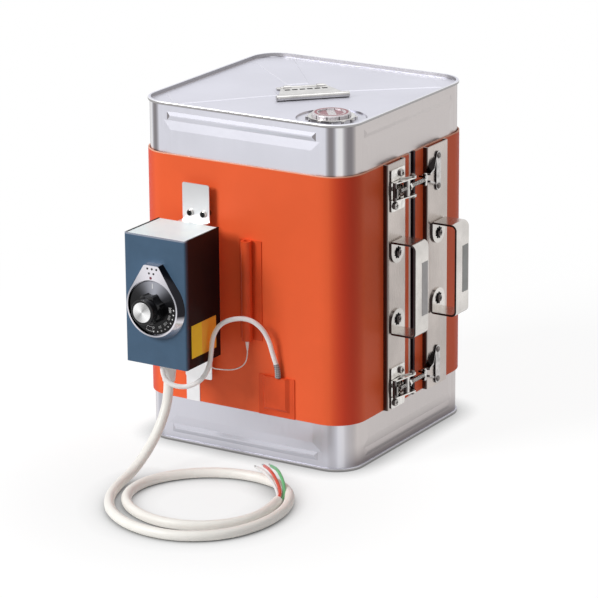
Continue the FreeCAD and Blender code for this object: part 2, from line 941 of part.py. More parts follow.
def make_escutcheon():
    front = box_front - escutcheon_height
    half = escutcheon_top_width / 2
    back_face = teardrop(escutcheon_radius, half, escutcheon_top_rise, box_front)
    front_radius = escutcheon_radius - escutcheon_flank
    front_half = half - escutcheon_tip_flank
    front_rise = escutcheon_top_rise - escutcheon_tip_flank
    front_face = teardrop(front_radius, front_half, front_rise, front)
    plate = Part.makeLoft([back_face.OuterWire, front_face.OuterWire], True, True)
    tips = []
    for edge in plate.Edges:
        box = edge.BoundBox
        crosses = box.YLength > escutcheon_height - 0.001
        if crosses and box.ZMin > dial_z + front_rise - 0.001:
            tips.append(edge)
    plate = plate.makeFillet(escutcheon_tip_round, tips)
    start = V(dial_x, front - past, dial_z)
    depth = escutcheon_height - escutcheon_floor
    dish = rod(start, Y_AXIS, skirt_radius + skirt_gap, depth + past)
    return plate.cut([dish, dial_hole(stat_neck_radius + fit_gap)])


def make_skirt():
    skirt = rod(V(dial_x, skirt_front, dial_z), Y_AXIS, skirt_radius, skirt_thickness)
    skirt = skirt.makeChamfer(edge_round, edges_on_plane(skirt, "y", skirt_front))
    return skirt.cut(dial_hole(shaft_radius + fit_gap))


def make_knob():
    ring_front = skirt_front - knob_length
    step = ring_front + knob_ring_length
    body = rod(V(dial_x, step, dial_z), Y_AXIS, knob_radius, skirt_front - step)
    body = body.makeChamfer(knob_bevel, edges_on_plane(body, "y", step))
    flutes = []
    for number in range(knob_flutes):
        angle = 2 * math.pi * number / knob_flutes
        reach = knob_radius + knob_flute_radius - knob_flute_bite
        x = dial_x + reach * math.cos(angle)
        z = dial_z + reach * math.sin(angle)
        flutes.append(rod(V(x, step - past, z), Y_AXIS, knob_flute_radius, knob_length + past))
    body = body.cut(flutes)
    start = V(dial_x, ring_front, dial_z)
    ring = rod(start, Y_AXIS, knob_waist_radius, knob_ring_length + overlap)
    ring = ring.makeFillet(edge_round, edges_on_plane(ring, "y", ring_front))
    knob = body.fuse(ring).removeSplitter()
    start = V(dial_x, ring_front - past, dial_z)
    seat = rod(start, Y_AXIS, knob_cap_radius + fit_gap, knob_cap_thickness + past)
    start = V(dial_x, skirt_front - shaft_into_knob, dial_z)
    bore = rod(start, Y_AXIS, shaft_radius + fit_gap, shaft_into_knob + past)
    return knob.cut([seat, bore])


def make_knob_cap():
    front = skirt_front - knob_length - knob_cap_proud
    start = V(dial_x, front, dial_z)
    cap = rod(start, Y_AXIS, knob_cap_radius, knob_cap_thickness + knob_cap_proud)
    return cap.makeFillet(knob_cap_round, edges_on_plane(cap, "y", front))


def make_stat_body():
    front = box_front + box_sheet
    half_x = stat_width / 2
    half_z = stat_height / 2
    back = front + stat_depth
    body = slab(dial_x - half_x, dial_x + half_x, front, back, dial_z - half_z, dial_z + half_z)
    corners = [edge for edge in body.Edges if abs(edge.Length - stat_depth) < 0.001]
    body = body.makeFillet(corner_round, corners)
    start = V(dial_x, box_front - escutcheon_floor, dial_z)
    neck = rod(start, Y_AXIS, stat_neck_radius, escutcheon_floor + box_sheet + overlap)
    start = V(dial_x, box_front - past, dial_z)
    bore = rod(start, Y_AXIS, shaft_radius + running_gap, past + box_sheet + stat_depth / 2)
    return body.fuse(neck).cut(bore).removeSplitter()


def make_shaft():
    start = skirt_front - shaft_into_knob + seat_gap
    end = box_front + box_sheet + stat_depth / 2 - seat_gap
    return rod(V(dial_x, start, dial_z), Y_AXIS, shaft_radius, end - start)


def make_terminal_block():
    centre_x = (box_left + box_right) / 2
    back = box_back - box_sheet
    z0 = chassis_bottom + box_sheet + block_floor_gap
    half = block_length / 2
    block = slab(centre_x - half, centre_x + half, back - block_height, back, z0, z0 + block_width)
    first = centre_x - block_pitch * (block_ways - 1) / 2
    middle_y = back - block_height / 2
    middle_z = z0 + block_width / 2
    screw_reach = past + block_height / 2
    for number in range(block_ways):
        x = first + block_pitch * number
        wire_start = V(x, middle_y, z0 - past)
        wire_hole = rod(wire_start, Z_AXIS, block_hole_radius, block_width + 2 * past)
        screw_start = V(x, middle_y - screw_reach, middle_z)
        screw_hole = rod(screw_start, Y_AXIS, block_hole_radius, screw_reach)
        block = block.cut([wire_hole, screw_hole])
    return block


def make_gland():
    """Tapered boot under the box, bored for the cable, with its neck and nut inside."""
    floor = V(gland_x, gland_y, chassis_bottom)
    tip = floor.sub(V(0, 0, gland_boot_length))
    boot = Part.makeCone(gland_tip_radius, gland_flange_radius, gland_boot_length, tip, Z_AXIS)
    boot = boot.makeFillet(edge_round / 2, edges_on_plane(boot, "z", tip.z))
    neck = rod(floor, Z_AXIS, gland_neck_radius, box_sheet + gland_nut_height)
    nut_start = floor.add(V(0, 0, box_sheet + seat_gap))
    nut = rod(nut_start, Z_AXIS, gland_flange_radius, gland_nut_height - seat_gap)
    start = tip.sub(V(0, 0, past))
    bore = rod(start, Z_AXIS, cable_radius + fit_gap, cable_start_z - start.z)
    return boot.fuse([neck, nut]).removeSplitter().cut(bore)


def make_bushes():
    bushes = []
    for x, y in bush_places():
        low = V(x, y, chassis_bottom - bush_length)
        flange = rod(low, Z_AXIS, bush_radius, bush_length)
        flange = flange.makeFillet(edge_round, edges_on_plane(flange, "z", low.z))
        neck = rod(V(x, y, chassis_bottom), Z_AXIS, bush_neck, box_sheet + bush_neck_reach)
        bushes.append(flange.fuse(neck).removeSplitter())
    return group(bushes)


# Clamping plates and handles
def make_plate(y0, width, holes):
    plate = slab(band_face, plate_face, y0, y0 + width, band_bottom, band_top)
    lengthwise = [
        edge
        for edge in plate.Edges
        if abs(edge.Length - band_height) < 0.001 and abs(edge.CenterOfMass.x - plate_face) < 0.001
    ]
    plate = plate.makeFillet(plate_corner, lengthwise)
    hollow = slab(
        band_face - past,
        plate_face - plate_sheet,
        y0 + plate_sheet,
        y0 + width - plate_sheet,
        band_bottom - past,
        band_top + past,
    )
    plate = plate.cut(hollow)
    for y, z, radius in holes:
        start = V(band_face, y, z)
        plate = plate.cut(rod(start, X_AXIS, radius + fit_gap, plate_depth + past))
    return plate


def handle_screw_places(y0):
    middle = y0 + handle_width / 2
    low = handle_bottom + handle_screw_rise
    high = handle_top - handle_screw_rise
    return [(middle, low), (middle, high)]


def front_plate_holes():
    holes = [(y, z, screw_shank_radius) for y, z in handle_screw_places(front_handle_y)]
    for level in latch_heights:
        holes += [(y, level + z, screw_shank_radius) for y, z in base_screw_points]
    return holes


def rear_plate_holes():
    holes = [(y, z, screw_shank_radius) for y, z in handle_screw_places(rear_handle_y)]
    for level in latch_heights:
        for side in (-1, 1):
            holes.append((keeper_foot_y, level + side * keeper_foot_half, rivet_radius))
    return holes


def crosswise_edges(shape, length, x):
    found = []
    for edge in shape.Edges:
        if abs(edge.Length - length) < 0.001 and abs(edge.CenterOfMass.x - x) < 0.001:
            found.append(edge)
    return found


def make_handle(y0):
    outer_x = plate_face + handle_projection
    y1 = y0 + handle_width
    outer = slab(plate_face, outer_x, y0, y1, handle_bottom, handle_top)
    outer = outer.makeFillet(handle_bend, crosswise_edges(outer, handle_width, outer_x))
    outer = outer.makeFillet(handle_foot_bend, crosswise_edges(outer, handle_width, plate_face))
    inner_x = outer_x - handle_sheet
    inner = slab(
        plate_face + handle_sheet,
        inner_x,
        y0 - past,
        y1 + past,
        handle_bottom + handle_sheet,
        handle_top - handle_sheet,
    )
    inner_corners = crosswise_edges(inner, handle_width + 2 * past, inner_x)
    inner = inner.makeFillet(handle_bend - handle_sheet, inner_corners)
    strap = outer.cut(inner)
    middle = y0 + handle_width / 2
    half = handle_width / 2
    start_x = plate_face - past
    reach = handle_sheet + past + overlap
    low = handle_bottom + handle_foot - half
    high = handle_top - handle_foot + half
    between = slab(start_x, start_x + reach, y0 - past, y1 + past, low, high)
    for z in (low, high):
        between = between.cut(rod(V(start_x, middle, z), X_AXIS, half, reach))
    strap = strap.cut(between)
    for y, z in handle_screw_places(y0):
        strap = strap.cut(rod(V(start_x, y, z), X_AXIS, screw_shank_radius + fit_gap, reach))
    return strap.removeSplitter()


def make_handle_screws():
    screws = []
    length = handle_sheet + plate_sheet + handle_nut_height - handle_screw_clear
    for y0 in (front_handle_y, rear_handle_y):
        for y, z in handle_screw_places(y0):
            screws.append(screw(V(plate_face + handle_sheet, y, z), X_AXIS, length))
    return group(screws)


def make_handle_nuts():
    nuts = []
    for y0 in (front_handle_y, rear_handle_y):
        for y, z in handle_screw_places(y0):
            seat = V(plate_face - plate_sheet - handle_nut_height, y, z)
            nut = hex_nut(handle_nut_radius, handle_nut_height, screw_shank_radius)
            nuts.append(placed(nut, seat, X_AXIS))
    return group(nuts)


def hex_nut(corner_radius, height, bore_radius):
    corners = []
    for number in range(6):
        angle = math.pi * number / 3
        corners.append(V(corner_radius * math.cos(angle), corner_radius * math.sin(angle), 0))
    nut = prism(corners, V(0, 0, height))
    return nut.cut(rod(V(0, 0, -past), Z_AXIS, bore_radius + fit_gap, height + 2 * past))


def make_handle_label(y0, height):
    face = plate_face + handle_projection
    y1 = y0 + handle_width - handle_label_margin
    z0 = (handle_bottom + handle_top - height) / 2
    return slab(face, face + label_thickness, y1 - handle_label_width, y1, z0, z0 + height)


# Toggle latch, drawn round z = 0 and lifted to its height
def hull_outline(first, second, z):
    """Face between two circles and their outer tangents."""
    x0, y0, r0 = first
    x1, y1, r1 = second
    distance = math.hypot(x1 - x0, y1 - y0)
    heading = math.atan2(y1 - y0, x1 - x0)
    lean = math.acos((r0 - r1) / distance)

    def at(x, y, r, angle):
        return V(x + r * math.cos(angle), y + r * math.sin(angle), z)

    a = at(x0, y0, r0, heading + lean)
    b = at(x1, y1, r1, heading + lean)
    c = at(x1, y1, r1, heading)
    d = at(x1, y1, r1, heading - lean)
    e = at(x0, y0, r0, heading - lean)
    f = at(x0, y0, r0, heading + math.pi)
    edges = [
        Part.makeLine(a, b),
        Part.Arc(b, c, d).toShape(),
        Part.makeLine(d, e),
        Part.Arc(e, f, a).toShape(),
    ]
    return Part.Face(Part.Wire(edges))


ear_inner = lever_inner_half + lever_sheet + seat_gap


def latch_bore(x, y, radius):
    """Upright cutting rod through a whole latch."""
    reach = base_half_height + past
    return rod(V(x, y, -reach), Z_AXIS, radius, 2 * reach)


def make_latch_base():
    top = plate_face + base_sheet
    base = slab(plate_face, top, base_y, base_y + base_width, -base_half_height, base_half_height)
    corners = [edge for edge in base.Edges if abs(edge.Length - base_sheet) < 0.001]
    base = base.makeFillet(corner_round, corners)
    foot_y = base_y + base_width
    foot_x = plate_face + overlap
    for side in (-1, 1):
        low = ear_inner if side > 0 else -ear_inner - ear_sheet
        ear = prism(
            [
                V(foot_x, ear_back, low),
                V(foot_x, foot_y, low),
                V(pivot_x, pivot_y + pivot_boss_radius, low),
                V(pivot_x + pivot_boss_radius, pivot_y, low),
            ],
            V(0, 0, ear_sheet),
        )
        ear = ear.fuse(rod(V(pivot_x, pivot_y, low), Z_AXIS, pivot_boss_radius, ear_sheet))
        base = base.fuse(ear)
    base = base.cut(latch_bore(pivot_x, pivot_y, pivot_radius + fit_gap))
    for y, z in base_screw_points:
        start = V(plate_face - past, y, z)
        base = base.cut(rod(start, X_AXIS, screw_shank_radius + fit_gap, base_sheet + 2 * past))
    return base.removeSplitter()


def make_base_screws():
    screws = []
    length = base_sheet + plate_sheet + screw_tail
    for y, z in base_screw_points:
        screws.append(screw(V(plate_face + base_sheet, y, z), X_AXIS, length))
    return group(screws)


def make_pivots():
    pins = []
    for side in (-1, 1):
        inner = lever_inner_half - fit_gap
        outer = ear_inner + ear_sheet
        shank = rod(V(0, 0, inner), Z_AXIS, pivot_radius, outer - inner)
        tail = rod(V(0, 0, inner - pivot_tail_height), Z_AXIS, pivot_tail_radius, pivot_tail_height)
        head = dome(pivot_head_radius, pivot_head_height)
        head.translate(V(0, 0, outer))
        pin = shank.fuse([tail, head]).removeSplitter()
        if side < 0:
            pin.rotate(V(0, 0, 0), X_AXIS, 180)
        pin.translate(V(pivot_x, pivot_y, 0))
        pins.append(pin)
    return group(pins)


def make_lever():
    half = lever_inner_half + lever_sheet
    tip_x = plate_face + lever_tip_above_plate
    tip = (tip_x, lever_tip_y, lever_tip_radius)
    boss = (pivot_x, pivot_y, pivot_boss_radius)
    body = hull_outline(tip, boss, -half).extrude(V(0, 0, 2 * half))
    tip_end = lever_tip_y - lever_tip_radius
    hollow = slab(
        plate_face,
        pivot_x + pivot_boss_radius + past,
        tip_end + lever_sheet,
        pivot_y + pivot_boss_radius + past,
        -lever_inner_half,
        lever_inner_half,
    )
    lip_half = lever_inner_half * lever_lip_share
    root = V(tip_x + overlap, tip_end + overlap, -lip_half)
    along = V(lever_lip_length, -lever_lip_length * lever_lip_slope, 0)
    across = Z_AXIS.cross(along)
    across.multiply(lever_lip_sheet / across.Length)
    corners = [root, root.add(along), root.add(along).add(across), root.add(across)]
    lip = prism(corners, V(0, 0, 2 * lip_half))
    lever = body.cut(hollow).fuse(lip)
    lever = lever.cut(latch_bore(pivot_x, pivot_y, pivot_radius + running_gap))
    lever = lever.cut(latch_bore(trunnion_x, trunnion_y, trunnion_pin_radius + running_gap))
    return lever.removeSplitter()


def make_trunnion():
    inner = lever_inner_half - seat_gap
    outer = lever_inner_half + lever_sheet
    barrel = rod(V(trunnion_x, trunnion_y, -inner), Z_AXIS, trunnion_radius, 2 * inner)
    pins = rod(V(trunnion_x, trunnion_y, -outer), Z_AXIS, trunnion_pin_radius, 2 * outer)
    reach = trunnion_radius + past
    bore = rod(V(trunnion_x, trunnion_y - reach, 0), Y_AXIS, link_radius + fit_gap, 2 * reach)
    return barrel.fuse(pins).cut(bore).removeSplitter()


def make_link():
    start = V(trunnion_x, trunnion_y - link_tail, 0)
    stem = rod(start, Y_AXIS, link_radius, link_tail + link_reach)
    stem = stem.makeChamfer(link_bevel, edges_on_plane(stem, "y", start.y))
    bar = rod(V(trunnion_x, tbar_y, -tbar_half_length), Z_AXIS, tbar_radius, 2 * tbar_half_length)
    ends = edges_on_plane(bar, "z", tbar_half_length) + edges_on_plane(bar, "z", -tbar_half_length)
    bar = bar.makeFillet(tbar_round, ends)
    return stem.fuse(bar).removeSplitter()


def make_link_nut():
    start = V(trunnion_x, trunnion_y + trunnion_radius + fit_gap, 0)
    nut = hex_nut(link_nut_radius, link_nut_height, link_radius)
    return placed(nut, start, Y_AXIS)


def make_keeper():
    """Forked keeper: two folded legs from their riveted feet to a slotted hook."""
    prong_inner = link_radius + keeper_prong_gap
    prong_outer = prong_inner + keeper_sheet
    lip_back = tbar_y - tbar_radius - keeper_lip_gap
    lip_front = lip_back - keeper_sheet
    floor_top = trunnion_x - tbar_radius - keeper_floor_gap
    floor_low = floor_top - keeper_prong_height
    wall_top = floor_low + keeper_wall_height
    lip_top = floor_top + keeper_lip_height
    foot_start = keeper_foot_y - keeper_foot_radius
    foot_end = keeper_foot_y + keeper_foot_radius
    foot_top = plate_face + keeper_foot_sheet
    leg_end = keeper_foot_y - keeper_leg_stop
    legs = []
    for side in (-1, 1):
        outline = [
            V(plate_face, lip_front, side * prong_inner),
            V(plate_face, lip_front, side * prong_outer),
            V(plate_face, keeper_apex_y, side * prong_outer),
            V(plate_face, leg_end, side * (keeper_foot_half + keeper_sheet / 2)),
            V(plate_face, leg_end, side * (keeper_foot_half - keeper_sheet)),
            V(plate_face, keeper_apex_y, side * prong_inner),
        ]
        legs.append(prism(outline, V(lip_top + past - plate_face, 0, 0)))
    reach = keeper_foot_half + keeper_foot_radius + past
    profile = [
        V(floor_low, lip_front, -reach),
        V(lip_top, lip_front, -reach),
        V(lip_top, lip_back, -reach),
        V(floor_top, lip_back, -reach),
        V(floor_top, keeper_apex_y - keeper_turn_up, -reach),
        V(wall_top, keeper_apex_y, -reach),
        V(wall_top, keeper_apex_y + keeper_crest_length, -reach),
        V(foot_top, foot_start, -reach),
        V(foot_top, keeper_foot_y, -reach),
        V(plate_face, keeper_foot_y, -reach),
        V(plate_face, keeper_apex_y + keeper_dip_length, -reach),
        V(floor_low, keeper_apex_y, -reach),
    ]
    keeper = legs[0].fuse(legs[1]).common(prism(profile, V(0, 0, 2 * reach)))
    feet = []
    holes = []
    for side in (-1, 1):
        centre = V(plate_face, keeper_foot_y, side * keeper_foot_half)
        feet.append(rod(centre, X_AXIS, keeper_foot_radius, keeper_foot_sheet))
        start = centre.sub(V(past, 0, 0))
        holes.append(rod(start, X_AXIS, rivet_radius + fit_gap, keeper_foot_sheet + 2 * past))
    tie_start = keeper_apex_y - keeper_tie_back
    tie_end = tie_start + keeper_tie_length
    tie = slab(floor_low, floor_top, tie_start, tie_end, -prong_outer, prong_outer)
    half = keeper_foot_half
    web = slab(plate_face, foot_top, foot_start, foot_end, -half, half)
    return keeper.fuse(feet + [tie, web]).removeSplitter().cut(holes)


def make_keeper_rivets():
    rivets = []
    length = keeper_foot_sheet + plate_sheet + screw_tail
    shank = rod(V(0, 0, -length), Z_AXIS, rivet_radius, length + overlap)
    rivet = dome(rivet_head_radius, rivet_head_height).fuse(shank).removeSplitter()
    for side in (-1, 1):
        seat = V(plate_face + keeper_foot_sheet, keeper_foot_y, side * keeper_foot_half)
        rivets.append(placed(rivet, seat, X_AXIS))
    return group(rivets)


def lifted(shape, height):
    moved = shape.copy()
    moved.translate(V(0, 0, height))
    return moved


def main():
    os.makedirs("parts", exist_ok=True)

    save("can", make_can())
    save("can_cap", make_cap())
    save("cap_ring", make_collar())
    save("carry_saddle", make_saddle())
    save("carry_handle", make_carry_handle())

    save("heater_band", make_band())
    save("sensor_pocket", make_sensor_pocket())
    save("lead_pocket", make_patch())
    save("sensor_probe", make_probe())

    save("hanger_strip", make_strip())
    save("upper_bracket", make_bracket(chassis_top, upper_bracket_rise, True))
    save("lower_bracket", make_bracket(chassis_bottom, lower_bracket_drop, False))
    save("bracket_screws", make_bracket_screws())
    save("bracket_studs", make_studs())

    save("box_cover", make_cover())
    save("box_chassis", make_chassis())
    save("box_cover_screws", make_cover_screws())
    save("box_label", make_box_label())
    save("escutcheon", make_escutcheon())
    save("dial_skirt", make_skirt())
    save("knob", make_knob())
    save("knob_cap", make_knob_cap())
    save("thermostat_body", make_stat_body())
    save("thermostat_shaft", make_shaft())
    save("terminal_block", make_terminal_block())
    save("power_gland", make_gland())
    save("lead_bushes", make_bushes())

    save("power_cable", cord("power_cable", cable_points, cable_radius))
    save("core_red", cord("core_red", core_red_points, core_radius))
    save("core_green", cord("core_green", core_green_points, core_radius))
    save("core_white", cord("core_white", core_white_points, core_radius))
    save("heater_lead", cord("heater_lead", lead_points, lead_radius))
    save("lead_sleeve", cord("lead_sleeve", sleeve_points, sleeve_radius))
    sensor_points = [tuple(cone_tip)] + sensor_lead_end
    save("sensor_lead", cord("sensor_lead", sensor_points, sensor_lead_radius))

    save("front_latch_plate", make_plate(front_plate_y, front_plate_width, front_plate_holes()))
    save("rear_latch_plate", make_plate(rear_plate_y, rear_plate_width, rear_plate_holes()))
    save("front_handle", make_handle(front_handle_y))
    save("rear_handle", make_handle(rear_handle_y))
    save("handle_screws", make_handle_screws())
    save("handle_nuts", make_handle_nuts())
    save("front_handle_label", make_handle_label(front_handle_y, front_handle_label_height))
    save("rear_handle_label", make_handle_label(rear_handle_y, rear_handle_label_height))

    latch_pieces = {
        "base": make_latch_base(),
        "base_screws": make_base_screws(),
        "pivot_rivets": make_pivots(),
        "lever": make_lever(),
        "trunnion": make_trunnion(),
        "link": make_link(),
        "link_nut": make_link_nut(),
        "keeper": make_keeper(),
        "keeper_rivets": make_keeper_rivets(),
    }
    for place, height in zip(("upper", "lower"), latch_heights):
        for piece, shape in latch_pieces.items():
            save(place + "_latch_" + piece, lifted(shape, height))


main()
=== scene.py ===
"""Dresses the square can heater: finishes, dial marks, fittings, cords, floor, light and camera.

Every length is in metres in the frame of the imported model: +Z up, the thermostat box on the
front, which faces -Y, and the latches and handles on the right, which faces +X.
"""

from __future__ import annotations

import json
import logging
import math
from dataclasses import dataclass, field
from enum import Enum
from typing import Sequence

import bmesh
import bpy
from mathutils import Matrix, Vector

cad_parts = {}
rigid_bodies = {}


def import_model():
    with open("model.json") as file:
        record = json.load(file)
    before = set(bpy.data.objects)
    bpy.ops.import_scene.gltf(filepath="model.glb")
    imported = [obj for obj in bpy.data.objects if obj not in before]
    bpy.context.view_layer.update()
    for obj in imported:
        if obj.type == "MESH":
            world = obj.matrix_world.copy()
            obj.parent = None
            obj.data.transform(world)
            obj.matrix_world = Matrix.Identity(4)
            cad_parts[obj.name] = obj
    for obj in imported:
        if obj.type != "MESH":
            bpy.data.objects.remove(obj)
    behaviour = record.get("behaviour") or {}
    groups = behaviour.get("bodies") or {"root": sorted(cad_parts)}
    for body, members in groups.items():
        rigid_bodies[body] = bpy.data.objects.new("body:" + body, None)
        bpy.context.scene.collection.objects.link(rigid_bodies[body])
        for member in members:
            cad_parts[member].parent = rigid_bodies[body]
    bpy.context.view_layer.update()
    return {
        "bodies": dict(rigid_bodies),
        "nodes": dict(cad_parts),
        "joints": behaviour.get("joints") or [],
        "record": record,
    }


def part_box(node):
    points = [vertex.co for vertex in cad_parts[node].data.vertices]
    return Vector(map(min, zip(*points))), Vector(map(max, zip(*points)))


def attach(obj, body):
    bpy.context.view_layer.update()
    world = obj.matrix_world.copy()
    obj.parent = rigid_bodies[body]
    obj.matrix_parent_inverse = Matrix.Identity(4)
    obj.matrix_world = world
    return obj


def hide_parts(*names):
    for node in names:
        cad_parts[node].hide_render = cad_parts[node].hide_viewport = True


LOG = logging.getLogger("can_heater")

Colour = tuple[float, float, float]
Point = tuple[float, float, float]
Socket = bpy.types.NodeSocket

UP = (0.0, 0.0, 1.0)


class Facing(Enum):
    """Which way a flat pattern looks. Its own X and Y become the two axes named first."""

    RIGHT = "y, z, looking along +X"
    FRONT = "x, z, looking along -Y"
    BACKWARD = "z, x, looking along +Y"

    def matrix(self, origin: Sequence[float]) -> Matrix:
        """Gives the turn and shift that lay the pattern at origin.

        Args:
            origin: Where the pattern's own zero goes.

        Returns:
            A 4 by 4 matrix with no scale and no mirror.
        """
        axes = {
            Facing.RIGHT: ((0, 1, 0), (0, 0, 1), (1, 0, 0)),
            Facing.FRONT: ((1, 0, 0), (0, 0, 1), (0, -1, 0)),
            Facing.BACKWARD: ((0, 0, 1), (1, 0, 0), (0, 1, 0)),
        }[self]
        turn = Matrix(axes).transposed().to_4x4()
        return Matrix.Translation(Vector(origin)) @ turn


class Body(Enum):
    """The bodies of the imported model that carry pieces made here."""

    HEATER = "heater"
    DIAL = "dial"
    BAIL = "carry_bail"
    UPPER_LINK = "upper_link"
    LOWER_LINK = "lower_link"


# Nodes
class NodeTree:
    """A tree of nodes, with short calls for adding and joining them."""

    def __init__(self, tree: bpy.types.NodeTree) -> None:
        """Keeps the tree.

        Args:
            tree: The tree that the nodes go into.
        """
        self.tree = tree

    def node(self, kind: str) -> bpy.types.Node:
        """Adds a node of that kind."""
        return self.tree.nodes.new(kind)

    def link(self, source: Socket, target: Socket) -> None:
        """Joins two sockets."""
        self.tree.links.new(source, target)

    def enter(self, entry: Socket, value: Socket | float | Sequence[float]) -> None:
        """Sends a socket or a plain value to an entry."""
        if isinstance(value, Socket):
            self.link(value, entry)
        else:
            entry.default_value = value

    def math(self, operation: str, first: Socket | float, second: Socket | float = 0.0) -> Socket:
        """Adds a Math node.

        Args:
            operation: The node's operation.
            first: A socket or a number.
            second: A socket or a number.

        Returns:
            The value socket.
        """
        node = self.node("ShaderNodeMath")
        node.operation = operation
        self.enter(node.inputs[0], first)
        self.enter(node.inputs[1], second)
        return node.outputs[0]

    def length(self, vector: Socket) -> Socket:
        """Gives a vector's length."""
        node = self.node("ShaderNodeVectorMath")
        node.operation = "LENGTH"
        self.link(vector, node.inputs[0])
        return node.outputs["Value"]

    def dot(self, vector: Socket, direction: Point) -> Socket:
        """Gives how far a vector reaches along a direction."""
        node = self.node("ShaderNodeVectorMath")
        node.operation = "DOT_PRODUCT"
        self.link(vector, node.inputs[0])
        node.inputs[1].default_value = direction
        return node.outputs["Value"]

    def seen_directly(self) -> Socket:
        """Gives 1 for rays from the camera, from gloss and through glass, and 0 for the rest."""
        path = self.node("ShaderNodeLightPath")
        seen = self.math("MAXIMUM", path.outputs["Is Camera Ray"], path.outputs["Is Glossy Ray"])
        return self.math("MAXIMUM", seen, path.outputs["Is Transmission Ray"])


# Finishes
class Graph(NodeTree):
    """A material's node tree, with short calls for the nodes that the finishes use."""

    def __init__(self, name: str) -> None:
        """Makes an empty material with one shader.

        Args:
            name: The material's name.
        """
        self.material = bpy.data.materials.new(name)
        self.material.use_nodes = True
        super().__init__(self.material.node_tree)
        self.tree.nodes.clear()
        self.output = self.node("ShaderNodeOutputMaterial")
        self.shader = self.node("ShaderNodeBsdfPrincipled")
        self.link(self.shader.outputs["BSDF"], self.output.inputs["Surface"])
        self.place = self.node("ShaderNodeTexCoord").outputs["Object"]

    def mapped(self, centre: Point = (0, 0, 0), stretch: Point = (1, 1, 1)) -> Socket:
        """Gives the place on the object, centred and stretched.

        Args:
            centre: The point that becomes zero.
            stretch: A factor along each axis.

        Returns:
            The vector socket.
        """
        mapping = self.node("ShaderNodeMapping")
        mapping.vector_type = "POINT"
        mapping.inputs["Scale"].default_value = stretch
        mapping.inputs["Location"].default_value = [-c * s for c, s in zip(centre, stretch)]
        self.link(self.place, mapping.inputs["Vector"])
        return mapping.outputs["Vector"]

    def noise(self, scale: float, detail: float = 3.0, stretch: Point = (1, 1, 1)) -> Socket:
        """Gives a cloudy pattern from 0 to 1.

        Args:
            scale: Clouds to the metre.
            detail: Octaves.
            stretch: A factor along each axis.

        Returns:
            The value socket.
        """
        texture = self.node("ShaderNodeTexNoise")
        texture.inputs["Scale"].default_value = scale
        texture.inputs["Detail"].default_value = detail
        self.link(self.mapped(stretch=stretch), texture.inputs["Vector"])
        return texture.outputs["Fac"]

    def span(
        self, value: Socket, low: float, high: float, to_low: float = 0.0, to_high: float = 1.0
    ) -> Socket:
        """Maps a value from one range to another, held at both ends."""
        node = self.node("ShaderNodeMapRange")
        node.clamp = True
        self.link(value, node.inputs["Value"])
        numbers = {"From Min": low, "From Max": high, "To Min": to_low, "To Max": to_high}
        for label, number in numbers.items():
            node.inputs[label].default_value = number
        return node.outputs["Result"]

    def blend(self, share: Socket, first: Colour | Socket, second: Colour | Socket) -> Socket:
        """Mixes two colours by a share.

        Args:
            share: 0 gives the first colour and 1 the second.
            first: A colour or a socket.
            second: A colour or a socket.

        Returns:
            The colour socket.
        """
        node = self.node("ShaderNodeMix")
        node.data_type = "RGBA"
        self.link(share, node.inputs[0])
        for entry, value in ((node.inputs[6], first), (node.inputs[7], second)):
            self.enter(entry, value if isinstance(value, Socket) else (*value, 1.0))
        return node.outputs[2]

    def past(self, value: Socket, edge: float, soft: float = 0.0002) -> Socket:
        """Gives 1 past an edge and 0 before it, with a soft change on both sides of it."""
        return self.span(value, edge - soft, edge + soft)

    def within(self, value: Socket, low: float, high: float, soft: float) -> Socket:
        """Gives 1 from one edge to another and 0 elsewhere, with a soft change outside them."""
        rise = self.span(value, low - soft, low)
        fall = self.span(value, high, high + soft, 1.0, 0.0)
        return self.math("MULTIPLY", rise, fall)

    def axis(self, vector: Socket, label: str) -> Socket:
        """Gives one part of a vector, by its letter."""
        node = self.node("ShaderNodeSeparateXYZ")
        self.link(vector, node.inputs[0])
        return node.outputs[label]

    def facing(self, direction: Point, low: float, high: float) -> Socket:
        """Gives 1 where the surface looks along a direction and 0 where it looks away.

        Args:
            direction: The direction, of length 1.
            low: The cosine at which the value starts to rise.
            high: The cosine at which it is full.

        Returns:
            The value socket.
        """
        normal = self.node("ShaderNodeNewGeometry").outputs["Normal"]
        return self.span(self.dot(normal, direction), low, high)

    def right_face(self, x: float) -> Socket:
        """Gives 1 on the right side's face, which is at x, and 0 to the left of it."""
        return self.span(self.axis(self.place, "X"), x - 0.004, x - 0.003)

    def corners(self, degrees: float, half_width: float) -> Socket:
        """Gives a streak down the four corners, where they look at an angle from the front or back.

        Args:
            degrees: The angle of the streak's middle.
            half_width: Half of the streak's width in degrees.

        Returns:
            1 in the middle of a streak, falling to 0 at its edges.
        """
        angle = math.radians(degrees)
        low = math.cos(math.radians(half_width))
        high = math.cos(math.radians(half_width / 5))
        share = None
        for across in (1, -1):
            for along_y in (1, -1):
                direction = (across * math.sin(angle), along_y * math.cos(angle), 0.0)
                one = self.facing(direction, low, high)
                share = one if share is None else self.math("MAXIMUM", share, one)
        return share

    def turn(self, centre: Point) -> Socket:
        """Gives the angle in radians round an axis along Y through a point."""
        offset = self.mapped(centre)
        return self.math("ARCTAN2", self.axis(offset, "Z"), self.axis(offset, "X"))

    def bump(self, height: Socket, depth: float) -> None:
        """Raises the surface by a pattern.

        Args:
            height: The pattern, from 0 to 1.
            depth: The height of the relief in metres.
        """
        node = self.node("ShaderNodeBump")
        node.inputs["Strength"].default_value = 1.0
        node.inputs["Distance"].default_value = depth
        self.link(height, node.inputs["Height"])
        self.link(node.outputs["Normal"], self.shader.inputs["Normal"])

    def colour(self, value: Socket) -> None:
        """Sends a colour to the shader."""
        self.link(value, self.shader.inputs["Base Color"])

    def roughness(self, value: Socket) -> None:
        """Sends a roughness to the shader."""
        self.link(value, self.shader.inputs["Roughness"])


